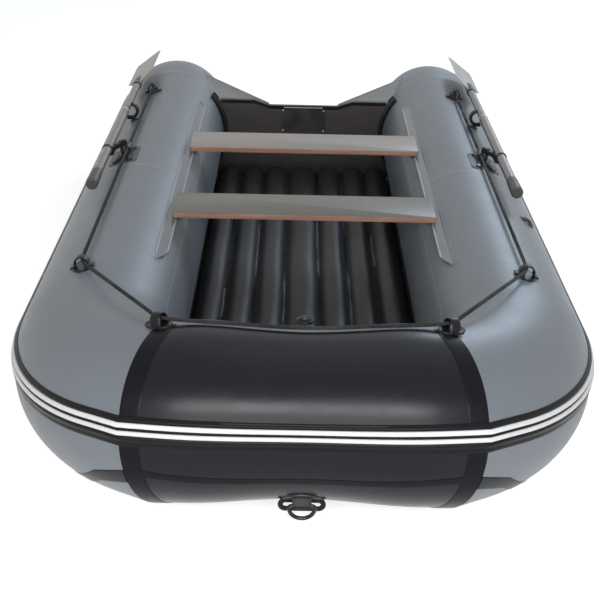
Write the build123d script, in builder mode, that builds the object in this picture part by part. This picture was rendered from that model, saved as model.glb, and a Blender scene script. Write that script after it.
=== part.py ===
from build123d import *
import os
from math import asin, atan2, cos, degrees, radians, sin

# Inflatable boat with a low-pressure air floor, plywood transom, two sliding
# benches and a pair of oars. X is across, port positive. Y runs from the bow,
# negative, to the stern. Z is up from the ground, under the middle of the boat.

# ---------------------------------------------------------------- tube ring
TUBE_R = 236  # side tubes and bow corners
BOW_R = 219  # middle of the bow section, a little slimmer
BOW_FULL_X = 300  # distance from the middle where the bow section is at full radius
SIDE_X = 589  # side tube axis from the middle
SIDE_Z = 266  # side tube axis above the ground
BOW_Y = -1350  # bow section axis at the middle
SEAM_X = 352  # bow section axis at the mitred seam
BOW_ARC_R = 2060  # the bow section is arched forward and up
BOW_TILT = 36  # plane of that arch above level
CORNER_TILT = 10  # plane of a bow corner, which rises towards the middle
CORNER_HEADING = 35  # direction of the corner's straight start at the seam
STUB = 60  # length of that straight start
OVERRUN = 85  # extra length that the mitre cuts off
CONE_Y = 1180  # stern cones start just behind the transom
STERN_Y = 1573  # stern cones end
CONE_FULL = 220  # a cone's skin runs on this far before it draws in
BOW_STATIONS = (-430, -360, -300, -150, 0, 150, 300, 360, 430)  # where the bow section's size is set
LAP = 3  # how far a strip reaches into a tube before the tube is cut from it
WHOLE_BOAT = 2000  # longer than half the boat, for cuts and blanks that run through it

# ---------------------------------------------------------------- strake and tapes
STRAKE_THICK = 8
STRAKE_HALF = 7.2  # half height, degrees round the tube
STRAKE_MID = 28  # middle of the strake in the corner's tilted plane, degrees
STRIPE_THICK = 3
UPPER_STRIPE = (0.6, 5.2)  # lower and upper edge from the strake's middle, degrees
LOWER_STRIPE = (-3.9, -0.4)
TAPE_THICK = 2
TAPE_MID = -28  # bottom skin's tape in the corner's tilted plane, degrees
TAPE_HALF = 3.4
STRAKE_END_Y = 1500

# ---------------------------------------------------------------- bottom and floor
RIB_WIDTHS = (126, 106, 104, 104)  # middle rib and the three each side
FLOOR_SPLIT_Z = 56  # bottom skin's half below, floor's half above
RIB_TOP_Z = 120
RIB_TOP_RISE = 28
RIB_BOTTOM_RISE = 14
FLOOR_BOW_Y = -1235
FLANK_X = 560  # bottom skin's outer edge under the tubes
FLANK_Z = 34
FLANK_DIP = (470, 6)  # lowest place between the ribs and that edge
FLANK_TOP_Z = 160
BOTTOM_BOW_SHIFT = 10  # its bow corner from the tubes' seam, inward and forward
BOTTOM_BOW_HEADING = 40.4  # its edge leaves that corner in this direction
BOTTOM_BEND_INSET = 60
BOTTOM_BEND_ARC = 50
UPSWEEP_Y = -900  # the bottom curves up from here
UPSWEEP_END = (-1375, 92)
BOW_FILL_Z = 150  # the bottom closes up to the bow tube at this height
BOTTOM_STERN_Y = 1112
FLOOR_STERN_Y = 1040

# ---------------------------------------------------------------- transom
TRANSOM_Y = 1092  # middle of the board at its top
TRANSOM_TOP = 404  # shoulders
TRANSOM_LOW = 382  # motor cut-out
TRANSOM_THICK = 30
TRANSOM_RAKE = 5
TRANSOM_LEVEL_X = 150
TRANSOM_SHOULDER_X = 215
TRANSOM_BEND_R = 40
TRANSOM_REACH = 440
TRANSOM_FOOT = 62
SEAT_THICK = 9  # rubber seats that hold the board's ends to the tubes
SEAT_WIDTH = 92
SEAT_TOP = 139  # degrees round the tube from outboard
SEAT_BOTTOM = 232
SEAT_LIP = 20
SEAT_LIP_THICK = 7
PAD_SIZE = (196, 104, 6)
PAD_Z = 318
OUTER_PLATE_SIZE = (220, 170, 4)
OUTER_PLATE_Z = 288
PLATE_CORNER_R = 8
WEB_INNER_X = 155
WEB_BEHIND = 8  # its inner corner lies this far behind the board's middle
WEB_ABOVE = 4  # and this far above the cut-out
WEB_FOOT_Y = (1110, 1290)  # its edge on the tube
WEB_FOOT_ANGLE = (137, 127)
WEB_SINK = 4
WEB_THICK = 3

# ---------------------------------------------------------------- benches and rails
BENCH_SIZE = (860, 180, 18)
BENCH_CORNER_R = 10
BENCH_EASE = 1.5  # round along the board's edges
BENCH_TOP_Z = 480
FRONT_BENCH_Y = -323
REAR_BENCH_Y = 320
RAIL_Y = (-720, 885)
RAIL_ANGLE = 126.5
RAIL_BEAD = (414, 452.5)
RAIL_BEAD_R = 4
RAIL_FLAP = 2.5
RAIL_REACH = 34
RAIL_TIP = 62  # the flap's ends are cut back to a point beside the tube
RAIL_TIP_X = 444
RAIL_BASE = 1.5
RAIL_BASE_HALF = 5
SLIDER_LENGTH = 150
SLIDER_HALF = 11
SLIDER_DROP = 17
SLIDER_GAP = 0.7

# ---------------------------------------------------------------- oarlocks and oars
OARLOCK_Y = 119
OARLOCK_ANGLE = 74.6  # pin's place round the tube, degrees from outboard
BASE_SHIFT = 37  # the patch and the moulded base are centred this far forward of the pin
PATCH_THICK = 2
PATCH_HALF = 13  # degrees
PATCH_LENGTH = 165
LEG_TIPS = ((72, 24), (60, 38))  # the base has four legs, each with a slanted end, aft and across
LEG_NOTCH = (26, 14)  # and is cut in this far between them, aft and across
LEG_HEIGHT = 9
LEG_SINK = 6
BOSS_R = 23
BOSS_TAPER = 15
BOSS_HEIGHT = 29
TUNNEL_GAP = 1  # the lifeline runs through a tunnel in the boss
TUNNEL_WALL = 4
TUNNEL_LENGTH = 50
PIN_R = 6
PIN_GAP = 0.3
PIN_DEPTH = 20
PIN_REACH = 18
OAR_HEIGHT = 54  # shaft axis above the tube, along the pin
OAR_OFFSET = 38  # shaft axis outboard of the pin
LOCK_LOW = 30
LOCK_HEIGHT = 14
LOCK_R = 16
SADDLE_Y = (20, 76)
SADDLE_WIDTH = 16
STRAP_WIDTH = 8
STRAP_THICK = 3
CAP_R = 12  # round cap over the pin
CAP_HEIGHT = 4
CAP_TAPER = 30
SHAFT_R = 15
SLEEVE_R = 17
GRIP_R = 21
GRIP_Y = (-318, -178)
GRIP_CAP = 12
GRIP_ROUND = 8
SLEEVE_END_Y = 490
COLLAR_R = 18
COLLAR_WIDTH = 6
SHAFT_END_Y = 930
BLADE_Y = (835, 1262)
BLADE_WIDTH = 134
BLADE_NECK = 73
BLADE_SHOULDER = 95
BLADE_THICK = 7
BLADE_LEAN = 36  # inboard edge up, degrees above level
BLADE_ROUND = 10
TIP_SLANT = 30
SOCKET_R = 18
SOCKET_LENGTH = 14
SOCKET_CAP = 6
SPINE_END_Y = 1170
CLIP_Y = 538  # hook that holds the stowed oar
CLIP_GAP = 5.5
CLIP_WALL = 6
CLIP_LIP = 22
CLIP_BULGE = (8, 30)  # back of the hook, inboard and off the skin
CLIP_TIP = (-15.5, 63)
CLIP_SINK = 8
CLIP_WIDTH = 24
CLIP_BASE_ANGLE = 71
CLIP_BASE_R = 27
CLIP_BASE_THICK = 4

# ---------------------------------------------------------------- lifeline and its holders
ROPE_R = 5.5
ROPE_HEIGHT = 18
ROPE_TAIL = 22
ROPE_BENDS = [40, 45, 60, 150, 150]  # radii of the port half's bends
CREST_X = (280, 170, 60)  # points where it lies on the bow section
CREST_ANGLE = 80  # degrees above level, facing aft
CREST_GAP = 1.5
HOLDER_ANGLE = 78  # degrees round the tube from outboard
STERN_HOLDER_Y = 876
MID_HOLDER_Y = -868
BOW_HOLDER = 100  # degrees round the tube at the seam
HOLDER_BASE = (80, 56, 4)
ARCH_WIDTH = 26
ARCH_THICK = 4
ARCH_R = 18  # inside of the strap's round crown
ARCH_MID = 12.5  # height of the crown's middle
ARCH_FOOT = (31, 5)  # each foot spreads out to here, at half the strap's thickness
SINK = 8  # how far a fitting's base reaches in before the tube is cut from it

# ---------------------------------------------------------------- towing eye
TOW_ANGLE = 46.7  # degrees below level
TOW_PATCH = (128, 76, 4)
TOW_BAR_DROP = 20  # ring's bar below the skin
TOW_BARREL_R = 9
TOW_WIRE_R = 4
TOW_WIRE_GAP = 1
TOW_TAB_WIDTH = 50
TOW_RING_SIZE = (32.5, 41)  # half width and depth at the wire's middle
TOW_RING_BENDS = [7, 7, 31, 31]
HANDLE_SIZE = (117, 50)
HANDLE_BAND = 10
HANDLE_THICK = 8
HANDLE_BACK = 8
HANDLE_Z = 146

# ---------------------------------------------------------------- valves and drain plugs
BOW_VALVE_Y = -359
BOW_VALVE_ANGLE = 51
SIDE_VALVE_Y = 1230
SIDE_VALVE_ANGLE = 168
FLOOR_VALVE = (10, -456)
VALVE_SIZES = ((29, 3), (23, 9), (11, 12))  # radius and height of each step
DRAIN_PLUG = (150, 112)  # distance across and height of its middle
PLUG_SIZES = ((23, 5), (15, 11))

os.makedirs("parts", exist_ok=True)


def save(piece, name):
    """Label a finished piece and write its STEP file."""
    piece.part.label = name
    export_step(piece.part, f"parts/{name}.step")


def save_pair(piece, name):
    """Write a port piece and its starboard mirror image."""
    save(piece, f"port_{name}")
    with BuildPart() as other:
        mirror(piece.part, about=Plane.YZ)
    save(other, f"starboard_{name}")


# ---------------------------------------------------------------- tube ring frames
tilt = radians(BOW_TILT)
lean = radians(CORNER_TILT)
heading = radians(CORNER_HEADING)
half_turn = asin(SEAM_X / BOW_ARC_R)
sagitta = BOW_ARC_R * (1 - cos(half_turn))
inset = (SIDE_X - SEAM_X) / cos(lean)
SEAM_Z = SIDE_Z + inset * sin(lean)
SEAM_Y = BOW_Y + sagitta * cos(tilt)
BOW_Z = SEAM_Z + sagitta * sin(tilt)
CORNER_R = (inset - STUB * cos(heading)) / (1 - sin(heading))
CORNER_Y = SEAM_Y + CORNER_R * cos(heading) + STUB * sin(heading)

inward = Vector(0, cos(tilt), -sin(tilt))
bow_up = Vector(0, sin(tilt), cos(tilt))
bow_centre = Vector(0, BOW_Y, BOW_Z) + inward * BOW_ARC_R
outboard = Vector(cos(lean), 0, -sin(lean))
corner_up = Vector(sin(lean), 0, cos(lean))
corner_centre = Vector(SIDE_X, CORNER_Y, SIDE_Z) - outboard * CORNER_R
corner_axis = Axis(corner_centre, corner_up * -1)
side_section = Plane((SIDE_X, CORNER_Y, SIDE_Z), x_dir=outboard, z_dir=(0, -1, 0))
corner_out = outboard * sin(heading) - Vector(0, 1, 0) * cos(heading)
corner_along = outboard * cos(heading) + Vector(0, 1, 0) * sin(heading)
stub_section = Plane(corner_centre + corner_out * CORNER_R, x_dir=corner_out, z_dir=corner_along * -1)
bow_along = Vector(cos(half_turn), 0, 0) + inward * sin(half_turn)
seam_point = Vector(SEAM_X, SEAM_Y, SEAM_Z)
seam_normal = (bow_along + corner_along).normalized()
seam_plane = Plane(seam_point, x_dir=(0, 0, 1), z_dir=seam_normal)


def bow_section(across):
    """Plane square to the bow section's axis, at this distance across."""
    turn = asin(across / BOW_ARC_R)
    out = Vector(sin(turn), 0, 0) - inward * cos(turn)
    along = Vector(cos(turn), 0, 0) + inward * sin(turn)
    return Plane(bow_centre + out * BOW_ARC_R, x_dir=out, z_dir=along * -1)


def bow_radius(across):
    """Radius of the bow section, which swells smoothly from its middle."""
    share = min(abs(across) / BOW_FULL_X, 1)
    return BOW_R + (TUBE_R - BOW_R) * share**2 * (3 - 2 * share)


def tube_point(y, angle, height=0):
    """Point beside the port tube: angle from outboard, height off its skin."""
    reach = TUBE_R + height
    return Vector(SIDE_X + reach * cos(radians(angle)), y, SIDE_Z + reach * sin(radians(angle)))


def tube_plane(y, angle, height=0):
    """Plane lying on the port tube's skin, with X pointing aft."""
    out = (cos(radians(angle)), 0, sin(radians(angle)))
    return Plane(tube_point(y, angle, height), x_dir=(0, 1, 0), z_dir=out)


def band(inner, outer, low, high):
    """Face between two radii and two angles, about the sketch's origin."""
    with BuildLine() as edge:
        near = CenterArc((0, 0), inner, low, high - low)
        far = CenterArc((0, 0), outer, low, high - low)
        Line(near @ 0, far @ 0)
        Line(near @ 1, far @ 1)
    make_face(edge.edges())


# ---------------------------------------------------------------- tubes
with BuildPart() as bow_tube:
    for across in BOW_STATIONS:
        with BuildSketch(bow_section(across)):
            Circle(bow_radius(across))
    loft()
    split(bisect_by=seam_plane, keep=Keep.BOTTOM)
    split(bisect_by=Plane.YZ, keep=Keep.TOP)
    mirror(about=Plane.YZ)
save(bow_tube, "bow_tube")

with BuildPart() as bow_corner:
    with BuildSketch(side_section):
        Circle(TUBE_R)
    revolve(axis=corner_axis, revolution_arc=90 - CORNER_HEADING)
    with BuildSketch(stub_section):
        Circle(TUBE_R)
    extrude(amount=STUB + OVERRUN)
    split(bisect_by=seam_plane, keep=Keep.TOP)
save_pair(bow_corner, "bow_corner")

with BuildPart() as side_tube:
    with BuildSketch(side_section):
        Circle(TUBE_R)
    extrude(amount=-(CONE_Y - CORNER_Y))
save_pair(side_tube, "side_tube")

cone_plane = Plane((SIDE_X, 0, SIDE_Z), x_dir=(0, 1, 0), z_dir=(0, 0, 1))


def cone_curve(extra=0):
    """Bullet outline of a stern cone, from full radius to its closed end."""
    return Bezier(
        (CONE_Y, TUBE_R + extra),
        (CONE_Y + CONE_FULL, TUBE_R + extra),
        (STERN_Y + extra, TUBE_R + extra),
        (STERN_Y + extra, 0),
    )


with BuildPart() as stern_cone:
    with BuildSketch(cone_plane):
        with BuildLine():
            outline = cone_curve()
            Polyline(outline @ 1, (CONE_Y, 0), outline @ 0)
        make_face()
    revolve(axis=Axis((SIDE_X, 0, SIDE_Z), (0, 1, 0)), revolution_arc=360)
save_pair(stern_cone, "stern_cone")


# ---------------------------------------------------------------- strips round the tube ring
def bow_angle(angle, across):
    """Angle round the bow section of a line that meets this corner angle at the seam."""
    out = corner_out * cos(radians(angle)) + corner_up * sin(radians(angle))
    start = seam_point + out * TUBE_R
    end = start - corner_along * (seam_normal.dot(start - seam_point) / seam_normal.dot(corner_along))
    at_seam = bow_section(SEAM_X).to_local_coords(end)
    seam_angle = degrees(atan2(at_seam.Y, at_seam.X))
    middle_angle = degrees(asin(out.Z)) - BOW_TILT
    return middle_angle + (seam_angle - middle_angle) * (across / SEAM_X) ** 2


def bow_strip(inner, outer, low, high):
    """Port half of a strip along the bow section, sinking towards the seam."""
    with BuildPart() as strip:
        for across in BOW_STATIONS:
            swell = bow_radius(across) - TUBE_R
            with BuildSketch(bow_section(across)):
                band(inner + swell, outer + swell, bow_angle(low, across), bow_angle(high, across))
        loft()
        split(bisect_by=seam_plane, keep=Keep.BOTTOM)
        split(bisect_by=Plane.YZ, keep=Keep.TOP)
    return strip.part


def corner_strip(inner, outer, low, high):
    """Port strip along the bow corner."""
    with BuildPart() as strip:
        with BuildSketch(side_section):
            band(inner, outer, low, high)
        revolve(axis=corner_axis, revolution_arc=90 - CORNER_HEADING)
        with BuildSketch(stub_section):
            band(inner, outer, low, high)
        extrude(amount=STUB + OVERRUN)
        split(bisect_by=seam_plane, keep=Keep.TOP)
    return strip.part


def side_strip(inner, outer, low, high):
    """Port strip along the straight side."""
    with BuildPart() as strip:
        with BuildSketch(side_section):
            band(inner, outer, low, high)
        extrude(amount=-(CONE_Y - CORNER_Y))
    return strip.part


def cone_strip(inner, outer, low, high):
    """Port strip along the stern cone, flat across and curved along."""
    middle = radians((low + high) / 2 - CORNER_TILT)
    out = Vector(cos(middle), 0, sin(middle))
    along = Vector(0, 1, 0)
    with BuildPart() as strip:
        with BuildSketch(Plane((SIDE_X, 0, SIDE_Z), x_dir=along, z_dir=along.cross(out))):
            with BuildLine():
                upper = cone_curve(outer - TUBE_R)
                lower = cone_curve(inner - TUBE_R)
                Line(upper @ 0, lower @ 0)
                Line(upper @ 1, lower @ 1)
            make_face()
            with Locations(((CONE_Y + STRAKE_END_Y) / 2, TUBE_R)):
                Rectangle(STRAKE_END_Y - CONE_Y, TUBE_R, mode=Mode.INTERSECT)
        extrude(amount=TUBE_R * radians(high - low) / 2, both=True)
    return strip.part


port_tubes = (bow_tube.part, bow_corner.part, side_tube.part, stern_cone.part)
strake_low = STRAKE_MID - STRAKE_HALF
strake_high = STRAKE_MID + STRAKE_HALF
makers = (bow_strip, corner_strip, side_strip, cone_strip)
lengths = [make(TUBE_R - LAP, TUBE_R + STRAKE_THICK, strake_low, strake_high) for make in makers]
with BuildPart() as rubbing_strake:
    for length in lengths:
        add(length)
    for tube in port_tubes:
        add(tube, mode=Mode.SUBTRACT)
    mirror(about=Plane.YZ)
save(rubbing_strake, "rubbing_strake")

with BuildPart() as strake_stripes:
    for low, high in (UPPER_STRIPE, LOWER_STRIPE):
        for make in makers:
            add(make(TUBE_R, TUBE_R + STRAKE_THICK + STRIPE_THICK, STRAKE_MID + low, STRAKE_MID + high))
    for tube in port_tubes:
        add(tube, mode=Mode.SUBTRACT)
    add(rubbing_strake.part, mode=Mode.SUBTRACT)
    mirror(about=Plane.YZ)
save(strake_stripes, "strake_stripes")

# ---------------------------------------------------------------- bottom and air floor
half_ribs = [RIB_WIDTHS[0] / 2]
for width in RIB_WIDTHS[1:]:
    half_ribs.append(half_ribs[-1] + width)
rib_edges = [-x for x in reversed(half_ribs)] + half_ribs
rib_spans = list(zip(rib_edges, rib_edges[1:]))
floor_edge = half_ribs[-1]
both_tubes = [tube for port in port_tubes for tube in (port, port.mirror(Plane.YZ))]

with BuildPart() as hull_bottom:
    with BuildSketch(Plane.YZ):
        with BuildLine():
            flat = Line((BOTTOM_STERN_Y, 0), (UPSWEEP_Y, 0))
            sweep_up = TangentArc(flat @ 1, UPSWEEP_END, tangent=flat % 1)
            Polyline(
                sweep_up @ 1,
                (UPSWEEP_END[0], BOW_FILL_Z),
                (FLOOR_BOW_Y, BOW_FILL_Z),
                (FLOOR_BOW_Y, FLOOR_SPLIT_Z),
                (BOTTOM_STERN_Y, FLOOR_SPLIT_Z),
                flat @ 0,
            )
        make_face()
    extrude(amount=FLANK_X, both=True)
    with BuildSketch(Plane.XZ):
        with BuildLine():
            for left, right in rib_spans:
                ThreePointArc((left, RIB_BOTTOM_RISE), ((left + right) / 2, 0), (right, RIB_BOTTOM_RISE))
            for side in (1, -1):
                edge_of_ribs = (side * floor_edge, RIB_BOTTOM_RISE)
                ThreePointArc(edge_of_ribs, (side * FLANK_DIP[0], FLANK_DIP[1]), (side * FLANK_X, FLANK_Z))
                Line((side * FLANK_X, FLANK_Z), (side * FLANK_X, FLANK_TOP_Z))
            Line((-FLANK_X, FLANK_TOP_Z), (FLANK_X, FLANK_TOP_Z))
        make_face()
    extrude(amount=WHOLE_BOAT, both=True, mode=Mode.INTERSECT)
    with BuildSketch(Plane.XY):
        with BuildLine():
            edge_y = SEAM_Y - BOTTOM_BOW_SHIFT
            start = Line((0, edge_y), (SEAM_X - BOTTOM_BOW_SHIFT, edge_y))
            bend = JernArc(
                start=start @ 1,
                tangent=(cos(radians(BOTTOM_BOW_HEADING)), sin(radians(BOTTOM_BOW_HEADING))),
                radius=CORNER_R - BOTTOM_BEND_INSET,
                arc_size=BOTTOM_BEND_ARC,
            )
            Polyline(bend @ 1, (FLANK_X, CORNER_Y), (FLANK_X, BOTTOM_STERN_Y), (0, BOTTOM_STERN_Y), start @ 0)
        make_face()
        mirror(about=Plane.YZ)
    extrude(amount=WHOLE_BOAT, both=True, mode=Mode.INTERSECT)
    for tube in both_tubes:
        add(tube, mode=Mode.SUBTRACT)
save(hull_bottom, "hull_bottom")

with BuildPart() as air_floor:
    with BuildSketch(Plane.XZ):
        with BuildLine():
            for left, right in rib_spans:
                crest = ((left + right) / 2, RIB_TOP_Z)
                ThreePointArc((left, RIB_TOP_Z - RIB_TOP_RISE), crest, (right, RIB_TOP_Z - RIB_TOP_RISE))
            Polyline(
                (-floor_edge, RIB_TOP_Z - RIB_TOP_RISE),
                (-floor_edge, FLOOR_SPLIT_Z),
                (floor_edge, FLOOR_SPLIT_Z),
                (floor_edge, RIB_TOP_Z - RIB_TOP_RISE),
            )
        make_face()
    extrude(amount=WHOLE_BOAT, both=True)
    split(bisect_by=Plane.XZ.offset(-FLOOR_STERN_Y), keep=Keep.TOP)
    split(bisect_by=Plane.XZ.offset(-FLOOR_BOW_Y), keep=Keep.BOTTOM)
    for tube in both_tubes:
        add(tube, mode=Mode.SUBTRACT)
save(air_floor, "air_floor")

# ---------------------------------------------------------------- transom
rake = radians(TRANSOM_RAKE)
board_plane = Plane((0, TRANSOM_Y, TRANSOM_TOP), x_dir=(1, 0, 0), z_dir=(0, -cos(rake), sin(rake)))
board_foot = (TRANSOM_FOOT - TRANSOM_TOP) / cos(rake)
dip = TRANSOM_LOW - TRANSOM_TOP
bends = (TRANSOM_LEVEL_X, TRANSOM_SHOULDER_X)

with BuildPart() as transom:
    with BuildSketch(board_plane) as board:
        with BuildLine():
            Polyline(
                (0, dip),
                (TRANSOM_LEVEL_X, dip),
                (TRANSOM_SHOULDER_X, 0),
                (TRANSOM_REACH, 0),
                (TRANSOM_REACH, board_foot),
                (0, board_foot),
                (0, dip),
            )
        make_face()
        mirror(about=Plane.YZ)
        fillet(board.vertices().filter_by(lambda v: abs(v.X) in bends), radius=TRANSOM_BEND_R)
    extrude(amount=TRANSOM_THICK / 2, both=True)
    with BuildSketch(Plane.XZ):
        with Locations((SIDE_X, SIDE_Z), (-SIDE_X, SIDE_Z)):
            Circle(TUBE_R + SEAT_THICK)
    extrude(amount=WHOLE_BOAT, both=True, mode=Mode.SUBTRACT)
save(transom, "transom")


def sector(inner, outer, low, high):
    """Sketch of a band whose centre is at the sketch's origin."""
    with BuildSketch() as face:
        band(inner, outer, low, high)
    return face.sketch


tube_centre = (SIDE_X, (SIDE_Z - TRANSOM_TOP) / cos(rake))
seat_band = sector(TUBE_R - LAP, TUBE_R + SEAT_THICK, SEAT_TOP, SEAT_BOTTOM)
seat_lip = sector(TUBE_R + SEAT_THICK / 2, TUBE_R + SEAT_THICK + SEAT_LIP, SEAT_TOP, SEAT_BOTTOM)
with BuildPart() as transom_holder:
    with BuildSketch(board_plane):
        with Locations(tube_centre):
            add(seat_band)
    extrude(amount=SEAT_WIDTH / 2, both=True)
    for side in (1, -1):
        with BuildSketch(board_plane.offset(side * TRANSOM_THICK / 2)):
            with Locations(tube_centre):
                add(seat_lip)
        extrude(amount=side * SEAT_LIP_THICK)
    add(side_tube.part, mode=Mode.SUBTRACT)
    add(transom.part, mode=Mode.SUBTRACT)
    add(hull_bottom.part, mode=Mode.SUBTRACT)
save_pair(transom_holder, "transom_holder")

for name, size, facing, centre_z in (
    ("motor_pad", PAD_SIZE, 1, PAD_Z),
    ("outer_motor_plate", OUTER_PLATE_SIZE, -1, OUTER_PLATE_Z),
):
    width, height, thick = size
    with BuildPart() as plate:
        with BuildSketch(board_plane.offset(facing * TRANSOM_THICK / 2)):
            with Locations((0, (centre_z - TRANSOM_TOP) / cos(rake))):
                RectangleRounded(width, height, PLATE_CORNER_R)
        extrude(amount=facing * thick)
    save(plate, name)

web_low = Vector(WEB_INNER_X, TRANSOM_Y + WEB_BEHIND, TRANSOM_LOW + WEB_ABOVE)
web_mid, web_high = (tube_point(y, angle, -WEB_SINK) for y, angle in zip(WEB_FOOT_Y, WEB_FOOT_ANGLE))
web_normal = (web_mid - web_low).cross(web_high - web_low)
web_face_up = web_normal if web_normal.Z > 0 else web_normal * -1
web_plane = Plane(web_low, x_dir=web_mid - web_low, z_dir=web_face_up)
web_corners = [web_plane.to_local_coords(point) for point in (web_low, web_mid, web_high)]
with BuildPart() as transom_web:
    with BuildSketch(web_plane):
        with BuildLine():
            Polyline(*web_corners, close=True)
        make_face()
    extrude(amount=WEB_THICK)
    for solid in (side_tube, stern_cone, transom, transom_holder):
        add(solid.part, mode=Mode.SUBTRACT)
save_pair(transom_web, "transom_web")

# ---------------------------------------------------------------- benches and rails
bench_length, bench_depth, bench_thick = BENCH_SIZE
bench_under = BENCH_TOP_Z - bench_thick
bead_x, bead_z = RAIL_BEAD
for name, bench_y in (("front", FRONT_BENCH_Y), ("rear", REAR_BENCH_Y)):
    with BuildPart() as bench:
        with BuildSketch(Plane.XY.offset(bench_under)):
            with Locations((0, bench_y)):
                RectangleRounded(bench_length, bench_depth, BENCH_CORNER_R)
        extrude(amount=bench_thick)
        fillet(bench.edges().group_by(Axis.Z)[0] + bench.edges().group_by(Axis.Z)[-1], radius=BENCH_EASE)
    save(bench, f"{name}_bench")
    with BuildPart() as sliders:
        with BuildSketch(Plane.XZ.offset(-bench_y)):
            with Locations((bead_x, bench_under - SLIDER_DROP / 2)):
                Rectangle(2 * SLIDER_HALF, SLIDER_DROP)
            with Locations((bead_x, bead_z)):
                Circle(RAIL_BEAD_R + SLIDER_GAP, mode=Mode.SUBTRACT)
            with Locations((bead_x + SLIDER_HALF, bead_z)):
                Rectangle(2 * SLIDER_HALF, RAIL_FLAP + 2 * SLIDER_GAP, mode=Mode.SUBTRACT)
        extrude(amount=SLIDER_LENGTH / 2, both=True)
        mirror(about=Plane.YZ)
    save(sliders, f"{name}_bench_sliders")

rail_low, rail_high = RAIL_Y
rail_foot = sector(TUBE_R - LAP, TUBE_R + RAIL_BASE, RAIL_ANGLE - RAIL_BASE_HALF, RAIL_ANGLE + RAIL_BASE_HALF)
with BuildPart() as bench_rail:
    with BuildSketch(Plane.XZ.offset(-rail_low)):
        with Locations((bead_x, bead_z)):
            Circle(RAIL_BEAD_R)
        with Locations((bead_x + RAIL_REACH / 2, bead_z)):
            Rectangle(RAIL_REACH, RAIL_FLAP)
        with Locations((SIDE_X, SIDE_Z)):
            add(rail_foot)
    extrude(amount=-(rail_high - rail_low))
    with BuildSketch(Plane.XY.offset(bead_z)):
        for end, step in ((rail_low, RAIL_TIP), (rail_high, -RAIL_TIP)):
            with BuildLine():
                beside_bead = bead_x - 2 * RAIL_BEAD_R
                Polyline((beside_bead, end), (RAIL_TIP_X, end), (beside_bead, end + step), close=True)
            make_face()
    extrude(amount=2 * RAIL_BEAD_R, both=True, mode=Mode.SUBTRACT)
    add(side_tube.part, mode=Mode.SUBTRACT)
save_pair(bench_rail, "bench_rail")

# ---------------------------------------------------------------- oarlocks
pin_plane = tube_plane(OARLOCK_Y, OARLOCK_ANGLE)
# On this plane X points aft, Y inboard and Z off the tube's skin.
rope_offset = (TUBE_R + ROPE_HEIGHT) * sin(radians(HOLDER_ANGLE - OARLOCK_ANGLE))
rope_level = (TUBE_R + ROPE_HEIGHT) * cos(radians(HOLDER_ANGLE - OARLOCK_ANGLE)) - TUBE_R
tunnel_plane = Plane(
    pin_plane.from_local_coords((0, rope_offset, rope_level)), x_dir=pin_plane.y_dir, z_dir=(0, 1, 0)
)
patch = sector(TUBE_R - LAP, TUBE_R + PATCH_THICK, OARLOCK_ANGLE - PATCH_HALF, OARLOCK_ANGLE + PATCH_HALF)
(tip_long, tip_in), (side_long, side_in) = LEG_TIPS
end_notch, side_notch = LEG_NOTCH
base_centre = pin_plane.from_local_coords((-BASE_SHIFT, 0, -LEG_SINK))
base_plane = Plane(base_centre, x_dir=pin_plane.x_dir, z_dir=pin_plane.z_dir)
with BuildPart() as oarlock_base:
    with BuildSketch(Plane.XZ.offset(BASE_SHIFT - OARLOCK_Y)):
        with Locations((SIDE_X, SIDE_Z)):
            add(patch)
    extrude(amount=PATCH_LENGTH / 2, both=True)
    with BuildSketch(base_plane):
        with BuildLine():
            Polyline(
                (0, side_notch),
                (side_long, side_in),
                (tip_long, tip_in),
                (end_notch, 0),
                (tip_long, -tip_in),
                (side_long, -side_in),
                (0, -side_notch),
            )
            mirror(about=Plane.YZ)
        make_face()
    extrude(amount=LEG_SINK + LEG_HEIGHT)
    with BuildSketch(pin_plane):
        Circle(BOSS_R)
    extrude(amount=BOSS_HEIGHT, taper=BOSS_TAPER)
    with BuildSketch(tunnel_plane):
        Circle(ROPE_R + TUNNEL_GAP + TUNNEL_WALL)
    extrude(amount=TUNNEL_LENGTH / 2, both=True)
    with BuildSketch(tunnel_plane):
        Circle(ROPE_R + TUNNEL_GAP)
    extrude(amount=PATCH_LENGTH, both=True, mode=Mode.SUBTRACT)
    with BuildSketch(pin_plane.offset(BOSS_HEIGHT - PIN_DEPTH)):
        Circle(PIN_R + PIN_GAP)
    extrude(amount=2 * PIN_DEPTH, mode=Mode.SUBTRACT)
    add(side_tube.part, mode=Mode.SUBTRACT)
save_pair(oarlock_base, "oarlock_base")

# ---------------------------------------------------------------- oars
shaft_plane = Plane(
    pin_plane.from_local_coords((-OARLOCK_Y, -OAR_OFFSET, OAR_HEIGHT)), x_dir=pin_plane.y_dir, z_dir=(0, 1, 0)
)
# On this plane X points inboard along the skin and Z aft from the middle of the boat.
shaft_axis = Axis(shaft_plane.origin, (0, 1, 0))
turning_plane = Plane(shaft_plane.origin, x_dir=(0, 1, 0), z_dir=shaft_plane.x_dir)


def round_length(radius, low, high, hollow=0):
    """Round length of an oar between two stations."""
    with BuildPart() as length:
        with BuildSketch(shaft_plane.offset(low)):
            Circle(radius)
            if hollow:
                Circle(hollow, mode=Mode.SUBTRACT)
        extrude(amount=high - low)
    return length.part


grip_end, grip_root = GRIP_Y
with BuildPart() as oar_shaft:
    add(round_length(SHAFT_R, grip_end + GRIP_CAP, SHAFT_END_Y))
save_pair(oar_shaft, "oar_shaft")

with BuildPart() as oar_sleeve:
    add(round_length(SLEEVE_R, grip_root, SLEEVE_END_Y, SHAFT_R))
    add(round_length(COLLAR_R, SLEEVE_END_Y - COLLAR_WIDTH, SLEEVE_END_Y, SHAFT_R))
save_pair(oar_sleeve, "oar_sleeve")

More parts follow.
